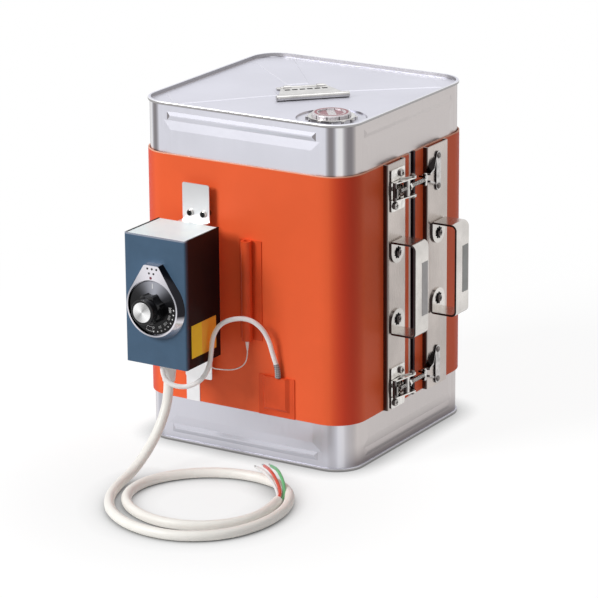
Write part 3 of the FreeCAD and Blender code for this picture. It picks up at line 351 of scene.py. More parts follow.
def shade(colour: Colour, factor: float) -> Colour:
    """Gives a colour made lighter or darker by a factor."""
    return tuple(min(1.0, part * factor) for part in colour)


@dataclass(frozen=True)
class Finish:
    """A finish with a mottled colour, an uneven gloss and a fine grain.

    Attributes:
        name: The material's name.
        tone: The base colour.
        rough: The lowest and the highest roughness.
        metal: 1 for bare metal.
        mottle: How far the colour swings either way, as a share, and clouds of colour to the metre.
        grain: Depth of the relief in metres, and grains to the metre.
        stretch: The grain's factor along each axis.
        gleam: Level of the plain surface gloss, 0.5 for common paint.
        cloud_span: The part of the clouds' range that the colour follows.
        grain_span: The part of the grain's range that the roughness follows.
    """

    cloud_span = (0.35, 0.65)
    grain_span = (0.3, 0.7)

    name: str
    tone: Colour
    rough: tuple[float, float] = (0.4, 0.5)
    metal: float = 0.0
    mottle: tuple[float, float] = (0.05, 25.0)
    grain: tuple[float, float] = (0.00002, 900.0)
    stretch: Point = (1, 1, 1)
    gleam: float = 0.5

    def build(self) -> bpy.types.Material:
        """Makes the material.

        Returns:
            The finished material.
        """
        graph = Graph(self.name)
        shader = graph.shader
        shader.inputs["Metallic"].default_value = self.metal
        shader.inputs["Specular IOR Level"].default_value = self.gleam
        clouds = graph.noise(self.mottle[1])
        graph.colour(self.colour(graph, clouds))
        grain = graph.noise(self.grain[1], 2.0, self.stretch)
        graph.roughness(self.gloss(graph, grain))
        graph.bump(self.relief(graph, grain), self.grain[0])
        return graph.material

    def colour(self, graph: Graph, clouds: Socket) -> Socket:
        """Gives the colour pattern: here the base colour, mottled by the clouds."""
        share = graph.span(clouds, *self.cloud_span)
        swing = self.mottle[0]
        return graph.blend(share, shade(self.tone, 1 - swing), shade(self.tone, 1 + swing))

    def gloss(self, graph: Graph, grain: Socket) -> Socket:
        """Gives the roughness: here it follows the grain."""
        return graph.span(grain, *self.grain_span, *self.rough)

    def relief(self, graph: Graph, grain: Socket) -> Socket:
        """Gives the relief pattern: here the grain alone."""
        return grain


@dataclass(frozen=True)
class CoverPaint(Finish):
    """Satin paint: blue grey on the cover's face with a painted highlight along its top edge, running to
    near black painted shade on its sides.

    Attributes:
        shaded_side_tone: The painted shade on the sides.
        rim_highlight_tone: The painted highlight along the face's top edge.
        face: Where the cover's face is along Y.
        fade: Where the change to the sides' painted shade starts and ends behind the face.
        rim: Where the painted highlight along the top edge starts, along Z.
    """

    shaded_side_tone: Colour = (0.0025, 0.002, 0.003)
    rim_highlight_tone: Colour = (0.30, 0.34, 0.42)
    face: float = -0.2
    fade: tuple[float, float] = (0.0004, 0.006)
    rim: float = 1.0

    def colour(self, graph: Graph, clouds: Socket) -> Socket:
        """Gives the face's mottled colour with its painted highlight, run into the sides' painted shade.
        """
        front = super().colour(graph, clouds)
        depth = graph.axis(graph.place, "Y")
        # Painted shade: the sides run to near black behind the face.
        share = graph.span(depth, *(self.face + reach for reach in self.fade))
        # Painted highlight along the face's top edge.
        lit_rim = graph.past(graph.axis(graph.place, "Z"), self.rim)
        return graph.blend(share, graph.blend(lit_rim, front, self.rim_highlight_tone), self.shaded_side_tone)


@dataclass(frozen=True)
class GradedZinc(Finish):
    """Zinc plate with painted shade, greyer towards the top of the upper bracket.

    Attributes:
        shaded_top_tone: The painted shade at the top.
        low: Where the change starts, along Z.
        high: Where it ends.
    """

    shaded_top_tone: Colour = (0.58, 0.58, 0.59)
    low: float = 0.0
    high: float = 1.0

    def colour(self, graph: Graph, clouds: Socket) -> Socket:
        """Gives the mottled plate, run into the painted shade."""
        ground = super().colour(graph, clouds)
        # Painted shade: greyer towards the top.
        share = graph.span(graph.axis(graph.place, "Z"), self.low, self.high)
        return graph.blend(share, ground, self.shaded_top_tone)


@dataclass(frozen=True)
class BandSheet(Finish):
    """Silicone sheet with painted shade on its corners, a painted highlight along its top edge and
    beside its opening, and painted shade on the end across the opening.

    Attributes:
        edge_shading_tone: The painted highlight along the top edge.
        strip_highlight_tone: The painted highlight in the strip beside the opening.
        shade_tone: The painted shade on the end across the opening.
        shaded_corner_tone: The painted shade where the sheet turns a corner.
        corner: The angle of a corner's middle and half of its width, in degrees.
        top: Where the painted highlight along the top edge starts, along Z.
        opening: Where the opening starts and ends, along Y, on the right side.
        strip: Width of the strip.
        right: Where the right side's face is, along X.
    """

    edge_shading_tone: Colour = (0.90, 0.42, 0.28)
    strip_highlight_tone: Colour = (0.88, 0.76, 0.72)
    shade_tone: Colour = (0.030, 0.006, 0.010)
    shaded_corner_tone: Colour = (0.74, 0.058, 0.018)
    corner: tuple[float, float] = (52.0, 34.0)
    top: float = 1.0
    opening: tuple[float, float] = (0.0, 0.0)
    strip: float = 0.0032
    right: float = 1.0

    def colour(self, graph: Graph, clouds: Socket) -> Socket:
        """Gives the mottled sheet with its painted highlights and painted shade."""
        ground = super().colour(graph, clouds)
        # Painted shade on the corners.
        ground = graph.blend(graph.corners(*self.corner), ground, self.shaded_corner_tone)
        # Painted highlight along the top edge.
        edge = graph.past(graph.axis(graph.place, "Z"), self.top)
        ground = graph.blend(edge, ground, self.edge_shading_tone)
        along = graph.axis(graph.place, "Y")
        start, end = self.opening
        side = graph.right_face(self.right)
        lap = 0.0002
        soft = 0.0003
        # Painted highlight in a strip beside the opening, painted shade on the end across it.
        for low, high, tone in (
            (start - self.strip, start + lap, self.strip_highlight_tone),
            (end - lap, end + self.strip, self.shade_tone),
        ):
            strip = graph.math("MULTIPLY", graph.within(along, low, high, soft), side)
            ground = graph.blend(strip, ground, tone)
        return ground


@dataclass(frozen=True)
class PolishedSteel(Finish):
    """Sheet steel with painted shade on the faces that look to the front or down, such as its cut edges
    and undersides.

    Attributes:
        edge_shading_tone: The painted shade on the faces that look to the front or down.
        edge_low: The cosine at which the painted shade starts.
        edge_high: The cosine at which it is full.
    """

    edge_shading_tone: Colour = (0.05, 0.04, 0.04)
    edge_low: float = 0.45
    edge_high: float = 0.85

    def colour(self, graph: Graph, clouds: Socket) -> Socket:
        """Gives the mottled steel with painted shade on its front and lower faces."""
        ground = super().colour(graph, clouds)
        # Painted shade on the faces that look to the front or down.
        front = graph.facing((0, -1, 0), self.edge_low, self.edge_high)
        under = graph.facing((0, 0, -1), self.edge_low, self.edge_high)
        return graph.blend(graph.math("MAXIMUM", front, under), ground, self.edge_shading_tone)


@dataclass(frozen=True)
class Tinplate(Finish):
    """Drawn tinplate: a cool front; warmer sides, feet, seams, rib slopes and band opening in painted
    shade; corners streaked with painted reflections; painted highlights on the lid's ribs and rim.

    Attributes:
        shaded_side_tone: The painted shade on the sides.
        dark_reflection_streak: The painted dark reflection in the streaks on the rounded corners.
        light_reflection_streak: The painted light reflection in the streak between them.
        streaks: The angle of each streak's middle and half of its width, in degrees.
        streak_fade: Where the streaks start to strengthen and where they are full, along Z.
        low_streak: How strong they are below that.
        shaded_slope_tone: The painted shade on the ribs' upper slopes.
        crest_highlight_tone: The painted highlight on the lid's ribs and on the rim's rounded top.
        shaded_foot_tone: The painted shade on the sides near the floor.
        foot: Where the painted shade at the foot starts to fade and where it ends, along Z.
        foot_fade: How fast it fades.
        shaded_seam_tone: The painted shade on the rolled seams' outer faces.
        seam_low: Where the bottom seam ends, along Z.
        seam_high: Where the top seam starts.
        shade_tone: The painted shade in the band's opening.
        opening: Where the band's opening starts and ends, along Y.
        opening_height: Where it starts and ends, along Z.
        right: Where the right side's face is, along X.
        lid_gloss: Roughness of the faces that look up.
        sideways: The cosines at which a face starts to count as a side and fully does.
        outward: The cosines at which a seam's face starts to count as its top and fully does.
        tilted: The same for the rounded tops of the lid's ribs and rim.
        level: The same for the lid's flat face.
        sloping: The same for the slopes of the front's ribs.
        rising: The same for the faces that have the lid's gloss.
    """

    sideways = (0.6, 0.95)
    outward = (0.3, 0.7)
    tilted = (0.25, 0.4)
    level = (0.93, 0.985)
    sloping = (0.76, 0.92)
    rising = (0.5, 0.85)

    shaded_side_tone: Colour = (0.56, 0.52, 0.51)
    dark_reflection_streak: Colour = (0.22, 0.205, 0.215)
    light_reflection_streak: Colour = (0.76, 0.75, 0.76)
    streaks: tuple[tuple[float, float], ...] = ((21.0, 12.0), (39.0, 10.0), (59.0, 16.0))
    streak_fade: tuple[float, float] = (0.02, 0.28)
    low_streak: float = 0.3
    shaded_slope_tone: Colour = (0.30, 0.30, 0.33)
    crest_highlight_tone: Colour = (0.75, 0.75, 0.78)
    shaded_foot_tone: Colour = (0.25, 0.22, 0.225)
    foot: tuple[float, float] = (0.006, 0.026)
    foot_fade: float = 1.6
    shaded_seam_tone: Colour = (0.36, 0.35, 0.35)
    seam_low: float = 0.0
    seam_high: float = 1.0
    shade_tone: Colour = (0.012, 0.008, 0.014)
    opening: tuple[float, float] = (0.0, 0.0)
    opening_height: tuple[float, float] = (0.0, 0.0)
    right: float = 1.0
    lid_gloss: float = 0.62

    def colour(self, graph: Graph, clouds: Socket) -> Socket:
        """Gives the front's colour, run into the painted shade, reflections and highlights of the sides,
        corners, feet, seams, lid and opening.
        """
        ground = super().colour(graph, clouds)
        height = graph.axis(graph.place, "Z")
        # Painted shade on the sides, darker again near the floor.
        right, left = (graph.facing((across, 0, 0), *self.sideways) for across in (1, -1))
        low = graph.math("POWER", graph.span(height, *self.foot, 1.0, 0.0), self.foot_fade)
        sides = graph.blend(low, self.shaded_side_tone, self.shaded_foot_tone)
        ground = graph.blend(graph.math("MAXIMUM", right, left), ground, sides)
        # Painted shade on the upper slopes of the front's ribs.
        ground = graph.blend(self.slope(graph), ground, self.shaded_slope_tone)
        # Painted reflections: dark and light streaks down the rounded corners, stronger higher up.
        strength = graph.span(height, *self.streak_fade, self.low_streak)
        tones = (self.dark_reflection_streak, self.light_reflection_streak, self.dark_reflection_streak)
        for streak, tone in zip(self.streaks, tones):
            share = graph.math("MULTIPLY", graph.corners(*streak), strength)
            ground = graph.blend(share, ground, tone)
        # Painted shade on the rolled seams' outer faces.
        soft = 0.0004
        bottom = graph.math("SUBTRACT", 1.0, graph.past(height, self.seam_low, soft))
        top = graph.past(height, self.seam_high, soft)
        outward = graph.math("SUBTRACT", 1.0, graph.facing(UP, *self.outward))
        seam = graph.math("MULTIPLY", graph.math("MAXIMUM", bottom, top), outward)
        ground = graph.blend(seam, ground, self.shaded_seam_tone)
        # Painted highlight on the lid's ribs and the rim's rounded top.
        level = graph.facing(UP, *self.level)
        tilted = graph.math("SUBTRACT", graph.facing(UP, *self.tilted), level)
        ground = graph.blend(graph.math("MULTIPLY", top, tilted), ground, self.crest_highlight_tone)
        # Painted shade where the can shows through the band's opening.
        return graph.blend(self.shaded(graph), ground, self.shade_tone)

    def slope(self, graph: Graph) -> Socket:
        """Gives 1 on the upper slopes of the front's ribs."""
        half = math.sqrt(0.5)
        height = graph.axis(graph.place, "Z")
        below_lid = graph.span(height, self.seam_high - 0.004, self.seam_high - 0.002, 1.0, 0.0)
        return graph.math("MULTIPLY", graph.facing((0, -half, half), *self.sloping), below_lid)

    def shaded(self, graph: Graph) -> Socket:
        """Gives 1 where the can shows through the band's opening, which takes the painted shade."""
        share = graph.right_face(self.right)
        for label, (start, end) in (("Y", self.opening), ("Z", self.opening_height)):
            inside = graph.within(graph.axis(graph.place, label), start, end, 0.001)
            share = graph.math("MULTIPLY", share, inside)
        return share

    def gloss(self, graph: Graph, grain: Socket) -> Socket:
        """Gives the sides' uneven gloss, and a duller one on the lid and the ribs' slopes."""
        upward = graph.math("MAXIMUM", graph.facing(UP, *self.rising), self.slope(graph))
        plain = super().gloss(graph, grain)
        room = graph.math("MULTIPLY", upward, graph.math("SUBTRACT", self.lid_gloss, plain))
        return graph.math("ADD", plain, room)


@dataclass(frozen=True)
class TurnedSheen(Finish):
    """A turned face with painted highlight wedges, for the light that a lathe's fine marks gather, and
    painted shade on the faces that look to the right and up.

    Attributes:
        centre: A point on the axis, which lies along Y.
        highlight_wedge_tone: The painted highlight in the middle of a wedge.
        wedges: Number of wedges round the turn.
        wedge_at: Angle of the first wedge, in radians.
        sharpness: How narrow the wedges are.
        shaded_side_tone: The painted shade on the faces that look to the right and up.
        side_way: The direction of those faces.
        side_span: The cosines at which a face starts to count as one and fully does.
    """

    side_way = (0.906, 0, 0.423)
    side_span = (0.62, 0.72)

    centre: Point = (0, 0, 0)
    highlight_wedge_tone: Colour = (0.9, 0.9, 0.9)
    wedges: int = 2
    wedge_at: float = 2.2
    sharpness: float = 1.5
    shaded_side_tone: Colour | None = None

    def colour(self, graph: Graph, clouds: Socket) -> Socket:
        """Gives the mottled ground with its painted highlight wedges and painted shade."""
        ground = super().colour(graph, clouds)
        # Painted highlight: lighter wedges round the turn.
        angle = graph.math("SUBTRACT", graph.turn(self.centre), self.wedge_at)
        wave = graph.math("COSINE", graph.math("MULTIPLY", angle, float(self.wedges)))
        share = graph.math("POWER", graph.span(wave, -1.0, 1.0), self.sharpness)
        ground = graph.blend(share, ground, self.highlight_wedge_tone)
        if self.shaded_side_tone is None:
            return ground
        # Painted shade on the faces that look to the right and up.
        side = graph.facing(self.side_way, *self.side_span)
        return graph.blend(side, ground, self.shaded_side_tone)


@dataclass(frozen=True)
class SpunDisc(TurnedSheen):
    """Metal turned on a lathe, with fine rings round an axis along Y.

    Attributes:
        rings: Rings to the metre.
    """

    rings: float = 2600.0

    def relief(self, graph: Graph, grain: Socket) -> Socket:
        """Gives rings round the centre."""
        radius = graph.length(graph.mapped(self.centre, (1, 0, 1)))
        wave = graph.math("SINE", graph.math("MULTIPLY", radius, self.rings))
        return graph.math("ADD", wave, graph.math("MULTIPLY", grain, 0.5))


@dataclass(frozen=True)
class RingedCap(Finish):
    """A painted cap: silver, with a coloured ring round two plain coloured fields.

    Attributes:
        centre: A point on the upright axis.
        ring_tone: The ring's and the fields' colour.
        ring: The ring's inner and outer radius.
        field: The fields' inner and outer radius.
        field_angle: Direction from one field to the other, in radians from +X.
        field_edge: Where a field starts and where it is full, from the line between them.
        field_share: How strong the fields' colour is.
        tabs: Number of pressed tabs round its side.
        gap_tone: The painted shade in the gaps between them.
        gap_edge: Heights of the wave round the side at which a gap starts and is full.
        level: The cosines at which a face starts to count as the cap's top and fully does.
    """

    centre: Point = (0, 0, 0)
    ring_tone: Colour = (0.27, 0.018, 0.050)
    ring: tuple[float, float] = (0.0141, 0.0166)
    field: tuple[float, float] = (0.0030, 0.0118)
    field_angle: float = 0.66
    field_edge: tuple[float, float] = (0.0034, 0.0044)
    field_share: float = 0.85
    tabs: int = 10
    gap_tone: Colour = (0.035, 0.03, 0.03)
    gap_edge: tuple[float, float] = (0.93, 0.975)
    level: tuple[float, float] = (0.3, 0.6)

    def colour(self, graph: Graph, clouds: Socket) -> Socket:
        """Gives the ring and the fields on the mottled ground."""
        ground = super().colour(graph, clouds)
        offset = graph.mapped(self.centre, (1, 1, 0))
        radius = graph.length(offset)
        direction = (math.cos(self.field_angle), math.sin(self.field_angle), 0.0)
        reach = graph.math("ABSOLUTE", graph.dot(offset, direction))
        split = graph.span(reach, *self.field_edge, 0.0, self.field_share)
        soft = 0.0003
        ring, fields = (
            graph.within(radius, low + soft, high - soft, 2 * soft)
            for low, high in (self.ring, self.field)
        )
        painted = graph.math("MAXIMUM", ring, graph.math("MULTIPLY", fields, split))
        ground = graph.blend(painted, ground, self.ring_tone)
        # Painted shade in the gaps between the pressed tabs.
        angle = graph.math("ARCTAN2", graph.axis(offset, "Y"), graph.axis(offset, "X"))
        wave = graph.math("COSINE", graph.math("MULTIPLY", angle, float(self.tabs)))
        side = graph.math("SUBTRACT", 1.0, graph.facing(UP, *self.level))
        gap = graph.math("MULTIPLY", graph.span(wave, *self.gap_edge), side)
        return graph.blend(gap, ground, self.gap_tone)


@dataclass(frozen=True)
class Braid(Finish):
    """A braided sleeve: two sets of slanting strands over and under each other.

    Attributes:
        pitch: Strands to the metre.
        gap_tone: The colour between the strands.
    """

    pitch: float = 1400.0
    gap_tone: Colour = (0.10, 0.10, 0.11)

    def strands(self, graph: Graph) -> Socket:
        """Gives the braid's pattern, from 0 between strands to 1 on them."""
        place = graph.place
        across = graph.math("ADD", graph.axis(place, "X"), graph.axis(place, "Y"))
        up = graph.axis(place, "Z")
        one = graph.math("SINE", graph.math("MULTIPLY", graph.math("ADD", up, across), self.pitch))
        two = graph.math("SINE", graph.math("MULTIPLY", graph.math("SUBTRACT", up, across), self.pitch))
        return graph.span(graph.math("MULTIPLY", one, two), -0.7, 0.7)

    def colour(self, graph: Graph, clouds: Socket) -> Socket:
        """Gives light strands with dark gaps."""
        return graph.blend(self.strands(graph), self.gap_tone, self.tone)

    def relief(self, graph: Graph, grain: Socket) -> Socket:
        """Gives the strands' relief."""
        return self.strands(graph)


@dataclass(frozen=True)
class TwoToneLabel(Finish):
    """A bare printed label: a yellow field beside an orange one.

    Attributes:
        second_tone: The colour of the rear field.
        split: Where the fields meet along Y.
    """

    second_tone: Colour = (1.0, 0.47, 0.05)
    split: float = -0.176

    def colour(self, graph: Graph, clouds: Socket) -> Socket:
        """Gives the two fields."""
        ground = super().colour(graph, clouds)
        behind = graph.past(graph.axis(graph.place, "Y"), self.split, 0.0001)
        return graph.blend(behind, ground, self.second_tone)


class Finishes:
    """Every finish of the heater, made once and looked up by the record's slot."""

    def __init__(self) -> None:
        """Makes all the materials."""
        dial = middle_of("knob_cap")
        cap = middle_of("can_cap")
        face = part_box("box_cover")[0].y
        label_low, label_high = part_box("box_label")
        can_low, can_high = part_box("can")
        band_low, band_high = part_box("heater_band")
        cover_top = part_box("box_cover")[1].z
        bracket_low, bracket_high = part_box("upper_bracket")
        opening = (-0.0008, 0.0052)
        seam_height = 0.0034
        top_highlight_depth = 0.0008
        rim_highlight_depth = 0.0014
        bracket_foot = 0.012
        first_field = 0.42
        upright = (1, 1, 0.02)
        along_y = (1, 0.03, 1)
        listed = [
            Tinplate(
                "tinplate", (0.63, 0.63, 0.69), rough=(0.30, 0.40), metal=1.0, mottle=(0.03, 9.0),
                grain=(0.000004, 1400.0), stretch=upright, seam_low=can_low.z + seam_height,
                seam_high=can_high.z - seam_height, opening=opening,
                opening_height=(band_low.z, band_high.z), right=band_high.x,
            ),
            PolishedSteel(
                "tinplate_bright", (0.62, 0.61, 0.60), rough=(0.12, 0.20), metal=1.0,
                mottle=(0.10, 90.0), grain=(0.000004, 1500.0), edge_shading_tone=(0.16, 0.15, 0.15),
                edge_low=0.55, edge_high=0.95,
            ),
            RingedCap(
                "cap_paint", (0.66, 0.62, 0.64), rough=(0.24, 0.34), metal=0.4, mottle=(0.06, 150.0),
                grain=(0.00001, 700.0), centre=cap,
            ),
            BandSheet(
                "silicone_sheet", (0.91, 0.130, 0.036), rough=(0.42, 0.52), mottle=(0.03, 14.0),
                grain=(0.00003, 420.0), gleam=0.25, top=band_high.z - top_highlight_depth, opening=opening,
                right=band_high.x,
            ),
            Finish(
                "silicone_moulding", (0.74, 0.085, 0.020), rough=(0.42, 0.52), mottle=(0.05, 40.0),
                grain=(0.00003, 500.0), gleam=0.25,
            ),
            Finish("probe_sleeve", (0.94, 0.88, 0.85), rough=(0.35, 0.45), mottle=(0.04, 150.0)),
            Finish(
                "thin_lead", (0.94, 0.88, 0.84), rough=(0.35, 0.45), mottle=(0.04, 120.0),
                grain=(0.00001, 900.0),
            ),
            Finish(
                "lead_rubber", (0.98, 0.96, 0.95), rough=(0.38, 0.48), mottle=(0.02, 90.0),
                grain=(0.00002, 700.0),
            ),
            Braid(
                "grey_braid", (0.50, 0.50, 0.51), rough=(0.5, 0.65), mottle=(0.06, 200.0),
                grain=(0.0002, 1500.0),
            ),
            GradedZinc(
                "bracket_zinc", (0.86, 0.86, 0.87), rough=(0.30, 0.42), metal=0.8, mottle=(0.04, 60.0),
                grain=(0.000004, 1300.0), stretch=upright, low=bracket_low.z + bracket_foot,
                high=bracket_high.z,
            ),
            # A darkened copy of the screws' steel: painted shade on the screws that keep it.
            PolishedSteel(
                "screw_steel", (0.16, 0.145, 0.14), rough=(0.16, 0.28), metal=1.0,
                mottle=(0.35, 500.0), grain=(0.00001, 1500.0),
            ),
            PolishedSteel(
                "latch_screw_steel", (0.46, 0.44, 0.42), rough=(0.14, 0.24), metal=1.0,
                mottle=(0.3, 500.0), grain=(0.00001, 1500.0),
            ),
            CoverPaint(
                "box_paint", (0.066, 0.122, 0.196), rough=(0.36, 0.44), mottle=(0.04, 60.0),
                grain=(0.00003, 1100.0), gleam=0.2, face=face, rim=cover_top - rim_highlight_depth,
            ),
            Finish(
                "chassis_plate", (0.84, 0.97, 1.0), rough=(0.40, 0.52), mottle=(0.04, 40.0),
                grain=(0.00001, 1300.0), stretch=(0.03, 1, 1),
            ),
            TwoToneLabel(
                "yellow_label", (1.0, 0.70, 0.035), rough=(0.35, 0.42), mottle=(0.03, 120.0),
                split=label_low.y + (label_high.y - label_low.y) * first_field,
            ),
            TurnedSheen(
                "chrome_bezel", (0.42, 0.42, 0.46), rough=(0.14, 0.24), metal=1.0,
                mottle=(0.05, 100.0), grain=(0.000004, 900.0), centre=dial,
                highlight_wedge_tone=(0.78, 0.76, 0.81), wedges=3, wedge_at=1.57, sharpness=0.9,
                shaded_side_tone=(0.02, 0.02, 0.024),
            ),
            TurnedSheen(
                "dial_black", (0.003, 0.003, 0.004), rough=(0.16, 0.24), mottle=(0.10, 90.0),
                grain=(0.000004, 900.0), gleam=0.25, centre=dial, highlight_wedge_tone=(0.46, 0.47, 0.53),
                wedges=1, wedge_at=1.48, sharpness=13.0,
            ),
            Finish(
                "knob_black", (0.004, 0.004, 0.005), rough=(0.16, 0.24), mottle=(0.10, 90.0),
                grain=(0.000006, 900.0), gleam=0.35,
            ),
            SpunDisc(
                "spun_silver", (0.40, 0.40, 0.40), rough=(0.22, 0.30), metal=1.0, mottle=(0.03, 90.0),
                grain=(0.00004, 900.0), centre=dial, highlight_wedge_tone=(0.97, 0.97, 0.97), wedge_at=2.5,
                sharpness=0.8,
            ),
            Finish("brown_phenolic", (0.20, 0.10, 0.05), mottle=(0.08, 90.0)),
            Finish(
                "shaft_brass", (0.75, 0.58, 0.30), rough=(0.25, 0.35), metal=1.0, mottle=(0.05, 90.0),
                grain=(0.00001, 900.0), stretch=along_y,
            ),
            Finish("block_ceramic", (0.85, 0.83, 0.79), rough=(0.30, 0.4), mottle=(0.03, 90.0)),
            Finish(
                "white_nylon", (0.84, 0.83, 0.81), rough=(0.35, 0.45), mottle=(0.03, 90.0),
                grain=(0.00002, 700.0),
            ),
            Finish(
                "cable_rubber", (0.94, 0.92, 0.87), rough=(0.38, 0.48), mottle=(0.02, 60.0),
                grain=(0.00004, 500.0),
            ),
            Finish("core_red_skin", (0.72, 0.10, 0.06), rough=(0.25, 0.35), mottle=(0.05, 200.0)),
            Finish("core_green_skin", (0.16, 0.55, 0.24), rough=(0.25, 0.35), mottle=(0.05, 200.0)),
            Finish("core_white_skin", (0.84, 0.84, 0.83), rough=(0.25, 0.35), mottle=(0.03, 200.0)),
            PolishedSteel(
                "plate_stainless", (0.52, 0.47, 0.44), rough=(0.24, 0.36), metal=1.0,
                mottle=(0.12, 18.0), grain=(0.000005, 1700.0), stretch=upright,
                edge_shading_tone=(0.085, 0.06, 0.055),
            ),
            PolishedSteel(
                "handle_stainless", (0.66, 0.63, 0.60), rough=(0.16, 0.28), metal=1.0,
                mottle=(0.12, 30.0), grain=(0.000006, 1900.0), stretch=upright,
            ),
            PolishedSteel(
                "latch_stainless", (0.74, 0.72, 0.69), rough=(0.10, 0.18), metal=1.0,
                mottle=(0.12, 220.0), grain=(0.000008, 1500.0), edge_low=0.2,
            ),
            # A darker copy of the latch steel with near-black edges: painted shade on the keepers.
            PolishedSteel(
                "keeper_steel", (0.50, 0.48, 0.47), rough=(0.10, 0.18), metal=1.0, mottle=(0.2, 220.0),
                grain=(0.000008, 1500.0), edge_shading_tone=(0.02, 0.016, 0.018), edge_low=0.05, edge_high=0.4,
            ),
            PolishedSteel(
                "domed_steel", (0.60, 0.58, 0.56), rough=(0.10, 0.18), metal=1.0, mottle=(0.15, 400.0),
                grain=(0.000008, 1500.0), edge_shading_tone=(0.02, 0.02, 0.02), edge_low=0.90, edge_high=0.985,
            ),
            Finish("grey_label", (0.48, 0.49, 0.48), rough=(0.35, 0.42), mottle=(0.05, 120.0)),
            Finish("pale_label", (0.62, 0.60, 0.60), rough=(0.35, 0.42), mottle=(0.05, 120.0)),
            # Near-black: the painted shade of the carry handle's slots and of the handle washers.
            Finish(
                "gap_black", (0.006, 0.005, 0.005), rough=(0.55, 0.7), mottle=(0.15, 300.0),
                grain=(0.00004, 1200.0), gleam=0.2,
            ),
            Finish("dial_white", (0.86, 0.86, 0.86), rough=(0.35, 0.42), mottle=(0.02, 200.0)),
            Finish("dot_ink", (0.010, 0.010, 0.012), rough=(0.35, 0.42), mottle=(0.1, 200.0)),
            Finish("dot_red", (0.16, 0.012, 0.03), rough=(0.35, 0.42), mottle=(0.1, 200.0)),
            Finish(
                "tinned_strands", (0.72, 0.70, 0.66), rough=(0.2, 0.34), metal=1.0,
                mottle=(0.1, 400.0), grain=(0.0001, 1600.0),
            ),
        ]
        self.materials = {finish.name: finish.build() for finish in listed}
        self.other_tones = {
            "front_handle_label": "pale_label",
            "bracket_screws": "domed_steel",
            "upper_latch_base_screws": "latch_screw_steel",
            "lower_latch_base_screws": "latch_screw_steel",
            "upper_latch_keeper": "keeper_steel",
            "lower_latch_keeper": "keeper_steel",
        }

    def __getitem__(self, name: str) -> bpy.types.Material:
        """Gives a material by its name."""
        return self.materials[name]

    def dress_nodes(self, frame: dict) -> None:
        """Puts each CAD node's finish on it, as the record says.
        """
        for row in frame["record"]["subparts"]:
            node = frame["nodes"][row["node"]]
            finish = self[row["material_slot"]]
            if not node.material_slots:
                node.data.materials.append(finish)
            for entry in node.material_slots:
                entry.material = finish
            LOG.info("dressed %s with %s", row["node"], row["material_slot"])
        for name, finish in self.other_tones.items():
            for entry in frame["nodes"][name].material_slots:
                entry.material = self[finish]


def middle_of(*nodes: str) -> Vector:
    """Gives the middle of the box round some CAD nodes."""
    lows, highs = zip(*(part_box(node) for node in nodes))
    low = Vector(min(corner[axis] for corner in lows) for axis in range(3))
    high = Vector(max(corner[axis] for corner in highs) for axis in range(3))
    return (low + high) / 2


# Meshes
def add_object(name: str, data: bpy.types.ID) -> bpy.types.Object:
    """Makes an object and puts it in the scene.

    Args:
        name: The object's name.
        data: Its mesh, curve or light.

    Returns:
        The object.
    """
    made = bpy.data.objects.new(name, data)
    bpy.context.scene.collection.objects.link(made)
    return made


def plain_mesh(source: bpy.types.Object, name: str) -> bpy.types.Mesh:
    """Turns an object with its modifiers into a plain mesh.

    Args:
        source: The object, which is removed.
        name: The mesh's name.

    Returns:
        The mesh, in the object's own space.
    """
    graph = bpy.context.evaluated_depsgraph_get()
    mesh = bpy.data.meshes.new_from_object(source.evaluated_get(graph))
    mesh.name = name
    bpy.data.objects.remove(source)
    return mesh


def finished_piece(
    name: str,
    mesh: bpy.types.Mesh,
    body: Body,
    place: Matrix | None = None,
    smooth: bool = False,
) -> bpy.types.Object:
    """Puts a mesh in its place, as a piece of the object.

    Args:
        name: The piece's name.
        mesh: Its mesh, which is moved.
        body: The body that it rides on.
        place: The move from the mesh's own space to the frame.
        smooth: Whether its faces are shaded smooth.

    Returns:
        The piece.
    """
    if place is not None:
        mesh.transform(place)
    if smooth:
        mesh.shade_smooth()
    piece = add_object(name, mesh)
    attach(piece, body.value)
    LOG.info("made %s on %s", name, body.value)
    return piece


